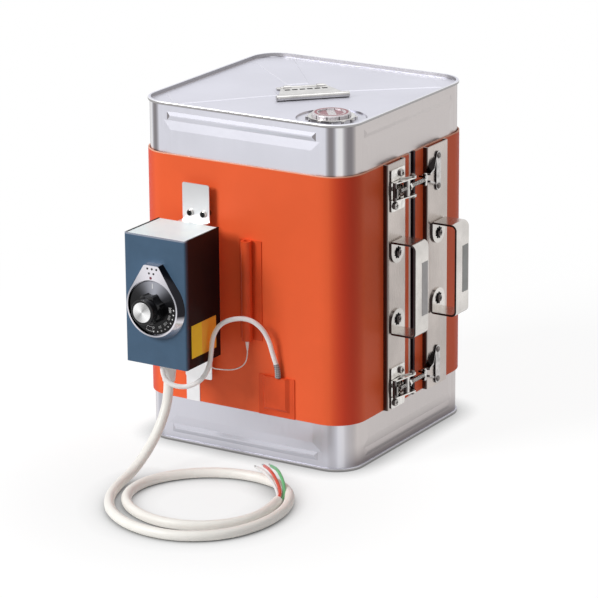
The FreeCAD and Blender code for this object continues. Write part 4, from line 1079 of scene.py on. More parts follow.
class Pattern(NodeTree):
    """A Geometry Nodes tree with named inputs, which puts one small form at many points."""

    def __init__(self, name: str) -> None:
        """Makes an empty tree.

        Args:
            name: The tree's name.
        """
        self.name = name
        super().__init__(bpy.data.node_groups.new(name, "GeometryNodeTree"))
        self.tree.interface.new_socket("Geometry", in_out="INPUT", socket_type="NodeSocketGeometry")
        self.tree.interface.new_socket("Geometry", in_out="OUTPUT", socket_type="NodeSocketGeometry")
        self.entry = self.node("NodeGroupInput")
        self.exit = self.node("NodeGroupOutput")
        self.sizes: dict[str, float] = {}

    def size(self, label: str, value: float) -> Socket:
        """Adds a named input for a size.

        Args:
            label: The input's name.
            value: The size.

        Returns:
            The socket that carries it inside the tree.
        """
        kind = "NodeSocketInt" if isinstance(value, int) else "NodeSocketFloat"
        self.tree.interface.new_socket(label, in_out="INPUT", socket_type=kind)
        self.sizes[label] = value
        return self.entry.outputs[label]

    def vector(self, **parts: Socket | float) -> Socket:
        """Joins X, Y and Z into a vector."""
        node = self.node("ShaderNodeCombineXYZ")
        for label, value in parts.items():
            self.enter(node.inputs[label], value)
        return node.outputs[0]

    def sweep(self, path: Socket, section: Socket) -> bpy.types.Node:
        """Sweeps a section along a path.

        Args:
            path: The path's curve.
            section: The section's curve.

        Returns:
            The node, whose Mesh output is the swept form.
        """
        swept = self.node("GeometryNodeCurveToMesh")
        self.link(path, swept.inputs["Curve"])
        self.link(section, swept.inputs["Profile Curve"])
        return swept

    def end(self, form: Socket, finish: bpy.types.Material) -> Pattern:
        """Puts the small form at every point, and ends the tree in real geometry with a finish.

        Args:
            form: The small form's geometry.
            finish: The material.

        Returns:
            The pattern, ready to grow.
        """
        instances = self.node("GeometryNodeInstanceOnPoints")
        self.link(self.entry.outputs["Geometry"], instances.inputs["Points"])
        self.link(form, instances.inputs["Instance"])
        real = self.node("GeometryNodeRealizeInstances")
        painted = self.node("GeometryNodeSetMaterial")
        painted.inputs["Material"].default_value = finish
        self.link(instances.outputs["Instances"], real.inputs["Geometry"])
        self.link(real.outputs["Geometry"], painted.inputs["Geometry"])
        self.link(painted.outputs["Geometry"], self.exit.inputs[0])
        return self

    def grow(self, points: Sequence[Point]) -> bpy.types.Mesh:
        """Runs the tree on a mesh of loose points.

        Args:
            points: Where the small forms go, in the pattern's own space.

        Returns:
            A plain mesh.
        """
        seed_mesh = bpy.data.meshes.new(self.name + "_points")
        seed_mesh.from_pydata([tuple(point) for point in points], [], [])
        holder = add_object(self.name + "_holder", seed_mesh)
        modifier = holder.modifiers.new(self.name, "NODES")
        modifier.node_group = self.tree
        for item in self.tree.interface.items_tree:
            if item.in_out == "INPUT" and item.name in self.sizes:
                modifier[item.identifier] = self.sizes[item.name]
        return plain_mesh(holder, self.name)


def ring_pattern(
    name: str, radius: float, width: float, height: float, finish: bpy.types.Material
) -> Pattern:
    """Makes a pattern of flat rings, such as washers.

    Args:
        name: The pattern's name.
        radius: Middle radius of each ring.
        width: Width of each ring's band.
        height: Thickness of each ring.
        finish: Its material.

    Returns:
        The pattern, ready to grow.
    """
    pattern = Pattern(name)
    circle = pattern.node("GeometryNodeCurvePrimitiveCircle")
    circle.inputs["Resolution"].default_value = 40
    pattern.link(pattern.size("Radius", radius), circle.inputs["Radius"])
    section = pattern.node("GeometryNodeCurvePrimitiveQuadrilateral")
    pattern.link(pattern.size("Width", width), section.inputs["Width"])
    pattern.link(pattern.size("Height", height), section.inputs["Height"])
    swept = pattern.sweep(circle.outputs["Curve"], section.outputs["Curve"])
    return pattern.end(swept.outputs["Mesh"], finish)


def stud_pattern(
    name: str, radius: float, height: float, sides: int, finish: bpy.types.Material
) -> Pattern:
    """Makes a pattern of short round or many-sided studs, such as dots.

    Args:
        name: The pattern's name.
        radius: Radius of each stud.
        height: How far it stands out.
        sides: Number of its sides.
        finish: Its material.

    Returns:
        The pattern, ready to grow.
    """
    pattern = Pattern(name)
    stud = pattern.node("GeometryNodeMeshCylinder")
    pattern.link(pattern.size("Sides", sides), stud.inputs["Vertices"])
    pattern.link(pattern.size("Radius", radius), stud.inputs["Radius"])
    pattern.link(pattern.size("Height", height), stud.inputs["Depth"])
    return pattern.end(stud.outputs["Mesh"], finish)


def bar_pattern(name: str, size: Point, finish: bpy.types.Material) -> Pattern:
    """Makes a pattern of small blocks.

    Args:
        name: The pattern's name.
        size: A block's three sides.
        finish: Its material.

    Returns:
        The pattern, ready to grow.
    """
    pattern = Pattern(name)
    block = pattern.node("GeometryNodeMeshCube")
    sides = {label: pattern.size("Side " + label, value) for label, value in zip("XYZ", size)}
    pattern.link(pattern.vector(**sides), block.inputs["Size"])
    return pattern.end(block.outputs["Mesh"], finish)


def thread_pattern(
    name: str, radius: float, pitch: float, length: float, wire: float, finish: bpy.types.Material
) -> Pattern:
    """Makes a screw thread: a helix of wire along +Z from each point.

    Args:
        name: The pattern's name.
        radius: Radius of the helix.
        pitch: Length of one turn.
        length: Length of the thread.
        wire: Radius of the wire.
        finish: Its material.

    Returns:
        The pattern, ready to grow.
    """
    pattern = Pattern(name)
    helix = pattern.node("GeometryNodeCurveSpiral")
    helix.inputs["Resolution"].default_value = 20
    turns = pattern.math("DIVIDE", pattern.size("Length", length), pattern.size("Pitch", pitch))
    around = pattern.size("Radius", radius)
    pattern.link(turns, helix.inputs["Rotations"])
    pattern.link(around, helix.inputs["Start Radius"])
    pattern.link(around, helix.inputs["End Radius"])
    pattern.link(pattern.entry.outputs["Length"], helix.inputs["Height"])
    section = pattern.node("GeometryNodeCurvePrimitiveCircle")
    section.inputs["Resolution"].default_value = 6
    pattern.link(pattern.size("Wire", wire), section.inputs["Radius"])
    swept = pattern.sweep(helix.outputs["Curve"], section.outputs["Curve"])
    swept.inputs["Fill Caps"].default_value = True
    return pattern.end(swept.outputs["Mesh"], finish)


# Dial
@dataclass
class Dial:
    """The marks on the dial's skirt and the dots on its bezel.

    Attributes:
        finishes: The heater's finishes.
        mark_height: How far the printed marks stand out.
        dot_ring: Radius of the ring of scale dots.
        dot_radius: Radius of one scale dot.
        dot_first: Angle of the first dot, in degrees from +X.
        dot_step: Angle from one dot to the next.
        dot_count: Number of scale dots.
        number_ring: Radius of the ring of numbers.
        number_size: Height of the figures.
        numbers: The scale's figures, from the first dot on.
        off_after: Angle from the last dot to the outline past the scale's low end.
        off_sweep: Angle that the outline spans.
        off_outer: Its outer radius.
        off_inner: Its inner radius.
        index_inner: Radius at which the index line starts.
        index_outer: Radius at which it ends.
        index_width: Its width.
        bezel_dot_radius: Radius of a dot on the bezel.
        bezel_pitch: Distance between the bezel's dots.
        bezel_row: Distance between their rows.
        bezel_top: Height of the top row above the dial's middle.
        bezel_right: How far the top row's middle is to the right of it.
        bezel_lean: How far each lower row is to the left of the one above.
        low_dot_radius: Radius of the red dot below the rows.
    """

    finishes: Finishes
    mark_height: float = 0.00012
    dot_ring: float = 0.0240
    dot_radius: float = 0.00075
    dot_first: float = 1.5
    dot_step: float = -11.3
    dot_count: int = 9
    number_ring: float = 0.0199
    number_size: float = 0.0036
    numbers: tuple[str, ...] = ("200", "150", "100", "50", "0")
    off_after: float = 3.0
    off_sweep: float = 18.0
    off_outer: float = 0.0242
    off_inner: float = 0.0198
    index_inner: float = 0.0192
    index_outer: float = 0.0242
    index_width: float = 0.0009
    bezel_dot_radius: float = 0.0011
    bezel_pitch: float = 0.0052
    bezel_row: float = 0.0046
    bezel_top: float = 0.0392
    bezel_right: float = 0.001
    bezel_lean: float = 0.0008
    low_dot_radius: float = 0.0014

    def __post_init__(self) -> None:
        """Finds the dial's middle and the two faces."""
        self.middle = middle_of("dial_skirt")
        self.skirt_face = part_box("dial_skirt")[0].y
        self.bezel_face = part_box("escutcheon")[0].y

    def place(self, face: float) -> Matrix:
        """Gives the move from the dial's plane to a face along Y."""
        return Facing.FRONT.matrix((self.middle.x, face, self.middle.z))

    def at(self, degrees: float, radius: float) -> Point:
        """Gives a point on the dial's plane by angle and radius."""
        angle = math.radians(degrees)
        return (radius * math.cos(angle), radius * math.sin(angle), 0.0)

    def build(self) -> None:
        """Makes every mark."""
        self.make_scale_dots()
        self.make_index()
        self.make_numbers()
        self.make_off_mark()
        self.make_bezel_dots()

    def lay_mark(self, name: str, mesh: bpy.types.Mesh) -> None:
        """Lays a white mark on the skirt's face.

        Args:
            name: The mark's name.
            mesh: Its mesh, on the dial's plane.
        """
        mesh.materials.clear()
        mesh.materials.append(self.finishes["dial_white"])
        finished_piece(name, mesh, Body.DIAL, self.place(self.skirt_face))

    def make_scale_dots(self) -> None:
        """Makes the ring of white dots."""
        white = self.finishes["dial_white"]
        pattern = stud_pattern("scale_dots", self.dot_radius, 2 * self.mark_height, 16, white)
        angles = [self.dot_first + self.dot_step * number for number in range(self.dot_count)]
        mesh = pattern.grow([self.at(angle, self.dot_ring) for angle in angles])
        finished_piece("scale_dots", mesh, Body.DIAL, self.place(self.skirt_face))

    def make_index(self) -> None:
        """Makes the index line at the top of the skirt."""
        mesh = bpy.data.meshes.new("dial_index")
        shape = bmesh.new()
        bmesh.ops.create_cube(shape, size=1.0)
        size = (self.index_width, self.index_outer - self.index_inner, 2 * self.mark_height)
        bmesh.ops.scale(shape, vec=size, verts=shape.verts)
        middle = (self.index_inner + self.index_outer) / 2
        bmesh.ops.translate(shape, vec=(0, middle, 0), verts=shape.verts)
        edge = self.mark_height * 0.4
        bmesh.ops.bevel(shape, geom=shape.edges[:], offset=edge, segments=2, affect="EDGES", profile=0.5)
        shape.to_mesh(mesh)
        shape.free()
        self.lay_mark("dial_index", mesh)

    def make_numbers(self) -> None:
        """Makes the scale's figures, joined into one mesh."""
        joined = bmesh.new()
        for order, figures in enumerate(self.numbers):
            degrees = self.dot_first + self.dot_step * 2 * order
            text = bpy.data.curves.new("figures", "FONT")
            text.body = figures
            text.align_x = "CENTER"
            text.align_y = "CENTER"
            text.size = self.number_size
            text.extrude = self.mark_height
            mesh = plain_mesh(add_object("figures", text), "figures")
            turn = Matrix.Rotation(math.radians(degrees - 90), 4, "Z")
            mesh.transform(Matrix.Translation(self.at(degrees, self.number_ring)) @ turn)
            joined.from_mesh(mesh)
        mesh = bpy.data.meshes.new("dial_numbers")
        bmesh.ops.remove_doubles(joined, verts=joined.verts, dist=0.000001)
        joined.to_mesh(mesh)
        joined.free()
        self.lay_mark("dial_numbers", mesh)

    def make_off_mark(self) -> None:
        """Makes the open white outline past the scale's low end."""
        start = self.dot_first + self.dot_step * (self.dot_count - 1) - self.off_after
        steps = 12
        angles = [start - self.off_sweep * step / steps for step in range(steps + 1)]
        outline = [self.at(angle, self.off_outer) for angle in angles]
        outline += [self.at(angle, self.off_inner) for angle in reversed(angles)]
        curve = bpy.data.curves.new("off_mark", "CURVE")
        curve.dimensions = "3D"
        curve.bevel_depth = self.mark_height
        curve.bevel_resolution = 1
        spline = curve.splines.new("POLY")
        spline.points.add(len(outline) - 1)
        for point, place in zip(spline.points, outline):
            point.co = (*place, 1.0)
        spline.use_cyclic_u = True
        self.lay_mark("off_mark", plain_mesh(add_object("off_mark", curve), "off_mark"))

    def make_bezel_dots(self) -> None:
        """Makes the two rows of dark dots at the top of the bezel, and the red one below them."""
        points = []
        for row in range(3):
            wide = 2 - row
            middle = self.bezel_right - self.bezel_lean * row
            height = self.bezel_top - self.bezel_row * row
            for number in range(wide + 1):
                points.append((middle + (number - wide / 2) * self.bezel_pitch, height, 0.0))
        for name, radius, ink, places in (
            ("bezel_dots", self.bezel_dot_radius, "dot_ink", points[:-1]),
            ("bezel_low_dot", self.low_dot_radius, "dot_red", points[-1:]),
        ):
            pattern = stud_pattern(name, radius, 2 * self.mark_height, 20, self.finishes[ink])
            face = self.place(self.bezel_face)
            finished_piece(name, pattern.grow(places), Body.HEATER, face)


# Slots, washers and threads
@dataclass
class CarrySlotShade:
    """Near-black bars level with the handle's plate: painted shade for the slots in the can's carry
    handle.

    Attributes:
        finishes: The heater's finishes.
        count: Number of slots.
        pitch: Distance between them.
        length: Length of one.
        width: Its width.
        reach: From the can's middle to the row of slots.
        thickness: Thickness of a bar.
        rise: From the middle of the handle's plate up to a bar's middle.
    """

    finishes: Finishes
    count: int = 6
    pitch: float = 0.0076
    length: float = 0.0055
    width: float = 0.0038
    reach: float = 0.006
    thickness: float = 0.0003
    rise: float = 0.0004

    def build(self) -> None:
        """Makes the painted shade bars, level with the handle's plate."""
        height = middle_of("carry_handle").z + self.rise
        size = (self.width, self.length, self.thickness)
        # Painted shade: near-black bars where the slots are.
        pattern = bar_pattern("carry_slot_shade", size, self.finishes["gap_black"])
        first = -self.pitch * (self.count - 1) / 2
        row = [(self.reach, first + self.pitch * number, 0.0) for number in range(self.count)]
        place = Matrix.Translation((0, 0, height)) @ Matrix.Rotation(math.radians(-45), 4, "Z")
        finished_piece("carry_slot_shade", pattern.grow(row), Body.BAIL, place)


@dataclass
class ClampFittings:
    """Toothed washers under the handles' screws, and the threads of the latches' links.

    Attributes:
        finishes: The heater's finishes.
        washer_radius: Middle radius of a washer.
        washer_width: Width of its band.
        washer_height: Its thickness.
        teeth: Number of its teeth.
        tooth_reach: How far the teeth's middles are from the centre.
        tooth_radius: Radius of a tooth.
        screw_rise: From a handle's end to its screw.
        foot_thickness: Thickness of a handle's foot.
        thread_radius: Radius of a link's thread.
        thread_pitch: Its pitch.
        thread_wire: Depth of its ridge.
        thread_start: From the link's front end to the thread.
        thread_margin: How far it stops short of the cross bar.
    """

    finishes: Finishes
    washer_radius: float = 0.0043
    washer_width: float = 0.0014
    washer_height: float = 0.0005
    teeth: int = 9
    tooth_reach: float = 0.0053
    tooth_radius: float = 0.0010
    screw_rise: float = 0.0135
    foot_thickness: float = 0.002
    thread_radius: float = 0.002
    thread_pitch: float = 0.0007
    thread_wire: float = 0.00022
    thread_start: float = 0.0006
    thread_margin: float = 0.0046

    def build(self) -> None:
        """Makes the washers and the threads."""
        self.make_washers()
        for latch, body in (("upper", Body.UPPER_LINK), ("lower", Body.LOWER_LINK)):
            self.make_thread(latch, body)

    def screw_points(self) -> list[Point]:
        """Gives the handles' screw places, as Y and Z."""
        points = []
        for handle in ("front_handle", "rear_handle"):
            low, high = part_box(handle)
            middle = (low.y + high.y) / 2
            points.append((middle, low.z + self.screw_rise, 0.0))
            points.append((middle, high.z - self.screw_rise, 0.0))
        return points

    def make_washers(self) -> None:
        """Makes a toothed washer at each handle screw."""
        # The washers are near-black: painted shade for the dark star round each screw.
        steel = self.finishes["gap_black"]
        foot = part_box("front_handle")[0].x + self.foot_thickness
        height = self.washer_height
        place = Facing.RIGHT.matrix((foot + height / 2, 0, 0))
        rings = ring_pattern("washer_rings", self.washer_radius, self.washer_width, height, steel)
        teeth = stud_pattern("washer_teeth", self.tooth_radius, height, 5, steel)
        points = self.screw_points()
        around = []
        for x, y, _ in points:
            for number in range(self.teeth):
                angle = 2 * math.pi * number / self.teeth
                across = self.tooth_reach * math.cos(angle)
                up = self.tooth_reach * math.sin(angle)
                around.append((x + across, y + up, 0.0))
        finished_piece("washer_rings", rings.grow(points), Body.HEATER, place)
        finished_piece("washer_teeth", teeth.grow(around), Body.HEATER, place)

    def make_thread(self, latch: str, body: Body) -> None:
        """Makes the thread of one latch's link.

        Args:
            latch: Which latch, upper or lower.
            body: The link's body.
        """
        name = latch + "_link_thread"
        low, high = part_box(latch + "_latch_link")
        middle = middle_of(latch + "_latch_link")
        start = low.y + self.thread_start
        length = high.y - self.thread_margin - start
        steel = self.finishes["latch_stainless"]
        pattern = thread_pattern(
            name, self.thread_radius, self.thread_pitch, length, self.thread_wire, steel
        )
        mesh = pattern.grow([(0.0, 0.0, 0.0)])
        place = Facing.BACKWARD.matrix((middle.x, start, middle.z))
        finished_piece(name, mesh, body, place, smooth=True)


# Cords
@dataclass
class Route:
    """A cord's route, as the control points of one smooth line.

    Attributes:
        name: The piece's name, which is also its CAD node.
        points: The points from the exit to the far end.
        radius: The cord's radius in metres.
        finish: Its material, which has the name of the record's slot.
        far_end: What is on its far end.
        stiffness: How stiff it is.
        length: Its length, known once its line is read.
    """

    name: str
    points: Sequence[Point]
    radius: float
    finish: str
    far_end: str
    stiffness: str
    length: float = field(default=0.0, init=False)

    def spline_on(self, curve: bpy.types.Curve) -> None:
        """Adds the route to a curve as a smooth spline."""
        spline = curve.splines.new("NURBS")
        spline.points.add(len(self.points) - 1)
        for point, place in zip(spline.points, self.points):
            point.co = (*place, 1.0)
        spline.order_u = 3
        spline.use_endpoint_u = True
        spline.resolution_u = 10

    def line(self) -> list[Vector]:
        """Gives points read from the smooth line, close together."""
        curve = bpy.data.curves.new(self.name + "_line", "CURVE")
        curve.dimensions = "3D"
        self.spline_on(curve)
        mesh = plain_mesh(add_object(self.name + "_line", curve), self.name + "_line")
        line = [vertex.co.copy() for vertex in mesh.vertices]
        bpy.data.meshes.remove(mesh)
        self.length = sum((b - a).length for a, b in zip(line, line[1:]))
        return line

    def curve(self, material: bpy.types.Material) -> bpy.types.Object:
        """Makes the cord as a round curve."""
        curve = bpy.data.curves.new(self.name + "_cord", "CURVE")
        curve.dimensions = "3D"
        curve.bevel_depth = self.radius
        curve.bevel_resolution = 6
        curve.use_fill_caps = True
        self.spline_on(curve)
        curve.materials.append(material)
        return add_object(self.name + "_cord", curve)


def along(line: Sequence[Vector]) -> list[float]:
    """Gives each point's distance along a line."""
    distances = [0.0]
    for before, after in zip(line, line[1:]):
        distances.append(distances[-1] + (after - before).length)
    return distances


def tube_mesh(name: str, line: Sequence[Vector], radii: Sequence[float], sides: int) -> bpy.types.Mesh:
    """Sweeps a ring of changing radius along a line, closed at both ends.

    Args:
        name: The mesh's name.
        line: The points of the centre line.
        radii: The radius at each point.
        sides: Number of sides.

    Returns:
        The mesh, smooth along its sides.
    """
    shape = bmesh.new()
    up = Vector((0.31, 0.17, 0.94)).normalized()
    rings = []
    for number, (point, radius) in enumerate(zip(line, radii)):
        before = line[max(number - 1, 0)]
        after = line[min(number + 1, len(line) - 1)]
        direction = (after - before).normalized()
        across = direction.cross(up).normalized()
        up = across.cross(direction).normalized()
        ring = []
        for side in range(sides):
            angle = 2 * math.pi * side / sides
            offset = across * math.cos(angle) + up * math.sin(angle)
            ring.append(shape.verts.new(point + offset * radius))
        rings.append(ring)
    for first, second in zip(rings, rings[1:]):
        for side in range(sides):
            after = (side + 1) % sides
            shape.faces.new((first[side], second[side], second[after], first[after]))
    shape.faces.new(rings[0])
    shape.faces.new(list(reversed(rings[-1])))
    bmesh.ops.recalc_face_normals(shape, faces=shape.faces)
    for face in shape.faces:
        face.smooth = len(face.verts) == 4
    mesh = bpy.data.meshes.new(name)
    shape.to_mesh(mesh)
    shape.free()
    return mesh


class Cords:
    """The power cable with its three cores, the heater's lead and the sensor's lead.

    Attributes:
        bare_length: Length of the bare strands at a core's end.
        bare_radius: Their radius.
        sleeve_start: The sleeve's radius at its upper end, as a share of its own.
        sleeve_growth: How much wider it is at its lower end, as a share.
    """

    bare_length = 0.009
    bare_radius = 0.00115
    sleeve_start = 0.93
    sleeve_growth = 0.12

    def __init__(self, finishes: Finishes) -> None:
        """Sets out every route.

        Args:
            finishes: The heater's finishes.
        """
        self.finishes = finishes
        self.cable = Route(
            "power_cable",
            (
                (-0.0485, -0.178, 0.098), (-0.0485, -0.178, 0.074), (-0.049, -0.1885, 0.05),
                (-0.051, -0.2085, 0.027), (-0.054, -0.235, 0.009), (-0.051, -0.267, 0.0051),
                (-0.039, -0.299, 0.0051), (-0.015, -0.33, 0.0051), (0.024, -0.351, 0.0051),
                (0.07, -0.352, 0.0051), (0.109, -0.326, 0.0051), (0.126, -0.282, 0.0051),
                (0.123, -0.235, 0.0051), (0.102, -0.196, 0.0051), (0.066, -0.178, 0.0051),
                (0.024, -0.18, 0.0051), (-0.013, -0.203, 0.0051), (-0.035, -0.24, 0.0051),
                (-0.032, -0.281, 0.0051), (-0.008, -0.311, 0.0051), (0.034, -0.328, 0.0051),
                (0.076, -0.32, 0.0051), (0.104, -0.292, 0.0051), (0.112, -0.255, 0.0051),
                (0.1045, -0.224, 0.0051),
            ),
            radius=0.005, finish="cable_rubber", far_end="bare", stiffness="medium",
        )
        self.cores = [
            Route(
                "core_red",
                (
                    (0.1045, -0.2239, 0.0073), (0.1022, -0.2144, 0.0073), (0.094, -0.205, 0.013),
                    (0.081, -0.1935, 0.0176), (0.067, -0.18, 0.0168), (0.0545, -0.166, 0.012),
                    (0.043, -0.153, 0.008),
                ),
                radius=0.0016, finish="core_red_skin", far_end="bare", stiffness="limp",
            ),
            Route(
                "core_green",
                (
                    (0.1066, -0.2234, 0.004), (0.1043, -0.2139, 0.004), (0.0975, -0.2005, 0.012),
                    (0.0855, -0.1885, 0.0174), (0.072, -0.1745, 0.0162), (0.0595, -0.1615, 0.0115),
                    (0.0485, -0.1495, 0.008),
                ),
                radius=0.0016, finish="core_green_skin", far_end="bare", stiffness="limp",
            ),
            Route(
                "core_white",
                (
                    (0.1024, -0.2244, 0.004), (0.0999, -0.2141, 0.004), (0.0895, -0.205, 0.0125),
                    (0.0755, -0.196, 0.0172), (0.0615, -0.184, 0.0162), (0.0495, -0.171, 0.011),
                    (0.038, -0.159, 0.0072),
                ),
                radius=0.0016, finish="core_white_skin", far_end="bare", stiffness="limp",
            ),
        ]
        self.heater_lead = Route(
            "heater_lead",
            (
                (-0.0465, -0.192, 0.1066), (-0.0465, -0.192, 0.0973), (-0.0416, -0.1906, 0.0895),
                (-0.0334, -0.1882, 0.0857), (-0.0225, -0.1825, 0.0855), (-0.0125, -0.1745, 0.0915),
                (-0.0078, -0.1675, 0.104), (-0.0072, -0.1647, 0.119), (-0.0072, -0.1622, 0.1335),
                (-0.0022, -0.1572, 0.1456), (0.0088, -0.1505, 0.1514), (0.0223, -0.143, 0.1514),
                (0.0326, -0.1363, 0.1426), (0.038, -0.1313, 0.1286), (0.0402, -0.129, 0.116),
                (0.043, -0.127, 0.104),
            ),
            radius=0.0024, finish="lead_rubber", far_end="object", stiffness="limp",
        )
        self.sensor_lead = Route(
            "sensor_lead",
            (
                (0.0101, -0.1267, 0.1126), (0.0101, -0.1267, 0.105), (0.0075, -0.1295, 0.0972),
                (0.0005, -0.1345, 0.0932), (-0.008, -0.141, 0.0934), (-0.0195, -0.152, 0.0969),
                (-0.0195, -0.152, 0.1066),
            ),
            radius=0.0006, finish="thin_lead", far_end="object", stiffness="limp",
        )
        self.sleeve = Route(
            "lead_sleeve",
            (
                (0.043, -0.127, 0.104), (0.04475, -0.12575, 0.0965), (0.044, -0.1252, 0.0898),
            ),
            radius=0.0028, finish="grey_braid", far_end="object", stiffness="limp",
        )

    def build(self) -> None:
        """Makes every cord in place of its CAD node."""
        self.make_round(self.cable)
        for core in self.cores:
            self.make_core(core)
        sleeve = self.make_sleeve()
        self.make_round(self.heater_lead, sleeve)
        self.make_round(self.sensor_lead)

    def make_round(self, route: Route, *on_it: bpy.types.Object) -> None:
        """Makes a cord as a round curve in place of its CAD node.

        Args:
            route: The cord's route.
            on_it: The pieces that are on it.
        """
        start = route.line()[0]
        piece = route.curve(self.finishes[route.finish])
        self.declare(piece, route, start, with_pieces=list(on_it))

    def declare(self, piece: bpy.types.Object, route: Route, start: Vector, **more: list) -> None:
        """Attaches a cord to the heater's body and hides the CAD node that it stands for.

        Args:
            piece: The cord.
            route: Its route.
            start: Where it leaves the heater. Not used.
            more: The pieces on it, or the path that its mesh follows. Not used.
        """
        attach(piece, Body.HEATER.value)
        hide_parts(route.name)
        LOG.info("made %s, %.1f mm long", piece.name, route.length * 1000)

    def make_core(self, route: Route) -> None:
        """Makes one core: an insulated tube whose last stretch is bare tinned strands.

        Args:
            route: The core's route.
        """
        line = route.line()
        distances = along(line)
        radii = []
        for distance in distances:
            bare = distance > route.length - self.bare_length
            radii.append(self.bare_radius if bare else route.radius)
        mesh = tube_mesh(route.name + "_wire", line, radii, 14)
        mesh.materials.append(self.finishes[route.finish])
        mesh.materials.append(self.finishes["tinned_strands"])
        end = line[-1]
        for polygon in mesh.polygons:
            if (Vector(polygon.center) - end).length < self.bare_length:
                polygon.material_index = 1
        piece = add_object(route.name + "_wire", mesh)
        self.declare(piece, route, line[0], path=[tuple(point) for point in line])

    def make_sleeve(self) -> bpy.types.Object:
        """Makes the braided sleeve, a little wider where its lower end frays.

        Returns:
            The sleeve.
        """
        line = self.sleeve.line()
        growth = self.sleeve_growth / (len(line) - 1)
        shares = [self.sleeve_start + growth * number for number in range(len(line))]
        radii = [self.sleeve.radius * share for share in shares]
        mesh = tube_mesh("braided_sleeve", line, radii, 24)
        mesh.materials.append(self.finishes["grey_braid"])
        piece = finished_piece("braided_sleeve", mesh, Body.HEATER)
        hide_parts("lead_sleeve")
        return piece


# Studio
def seen_from(azimuth: float, elevation: float) -> Vector:
    """Gives the direction to a point round the heater, in degrees from the front and the floor."""
    turn = math.radians(azimuth)
    rise = math.radians(elevation)
    level = math.cos(rise)
    return Vector((math.sin(turn) * level, -math.cos(turn) * level, math.sin(rise)))


@dataclass
class PhotoCamera:
    """The camera that took the photograph, fitted to the can's edges.

    Attributes:
        azimuth: Degrees to the right of the front.
        elevation: Degrees above the horizon.
        roll: Degrees of turn about its own axis.
        distance: From the aim point, in metres.
        aim_height: Height of the object's middle.
        aim_right: How far the aim point lies to the right of it, as the camera sees it.
        aim_up: How far the aim point lies above it, as the camera sees it.
        lens: Focal length in millimetres for a 36 mm sensor.
    """

    azimuth: float = 31.77
    elevation: float = 17.20
    roll: float = -0.46
    distance: float = 3.352
    aim_height: float = 0.175
    aim_right: float = -0.0073
    aim_up: float = -0.0433
    lens: float = 200.82

    def build(self) -> None:
        """Makes the camera and hands it to the scene."""
        azimuth = math.radians(self.azimuth)
        back = seen_from(self.azimuth, self.elevation)
        right = Vector((math.cos(azimuth), math.sin(azimuth), 0))
        up = back.cross(right)
        aim = Vector((0, 0, self.aim_height)) + right * self.aim_right + up * self.aim_up
        roll = math.radians(self.roll)
        rolled_right = right * math.cos(roll) + up * math.sin(roll)
        rolled_up = up * math.cos(roll) - right * math.sin(roll)
        data = bpy.data.cameras.new("photo_camera")
        data.lens = self.lens
        data.sensor_width = 36.0
        data.clip_end = 50.0
        camera = add_object("photo_camera", data)
        turn = Matrix((rolled_right, rolled_up, back)).transposed().to_4x4()
        camera.matrix_world = Matrix.Translation(aim + back * self.distance) @ turn
        bpy.context.scene.camera = camera


@dataclass
class Lamp:
    """A soft square lamp that looks at the heater.

    Attributes:
        name: The lamp's name.
        azimuth: Degrees to the right of the front.
        elevation: Degrees above the horizon.
        distance: From the heater's middle, in metres.
        size: Side of the lamp in metres.
        power: Power in watts.
        tint: Colour of the light.
        height: Height of the point that it looks at.
    """

    name: str
    azimuth: float
    elevation: float
    distance: float
    size: float
    power: float
    tint: Colour = (1.0, 1.0, 1.0)
    height: float = 0.17

    def build(self) -> None:
        """Makes the lamp."""
        back = seen_from(self.azimuth, self.elevation)
        data = bpy.data.lights.new(self.name, "AREA")
        data.size = self.size
        data.energy = self.power
        data.color = self.tint
        lamp = add_object(self.name, data)
        turn = back.to_track_quat("Z", "Y").to_matrix().to_4x4()
        place = Vector((0, 0, self.height)) + back * self.distance
        lamp.matrix_world = Matrix.Translation(place) @ turn


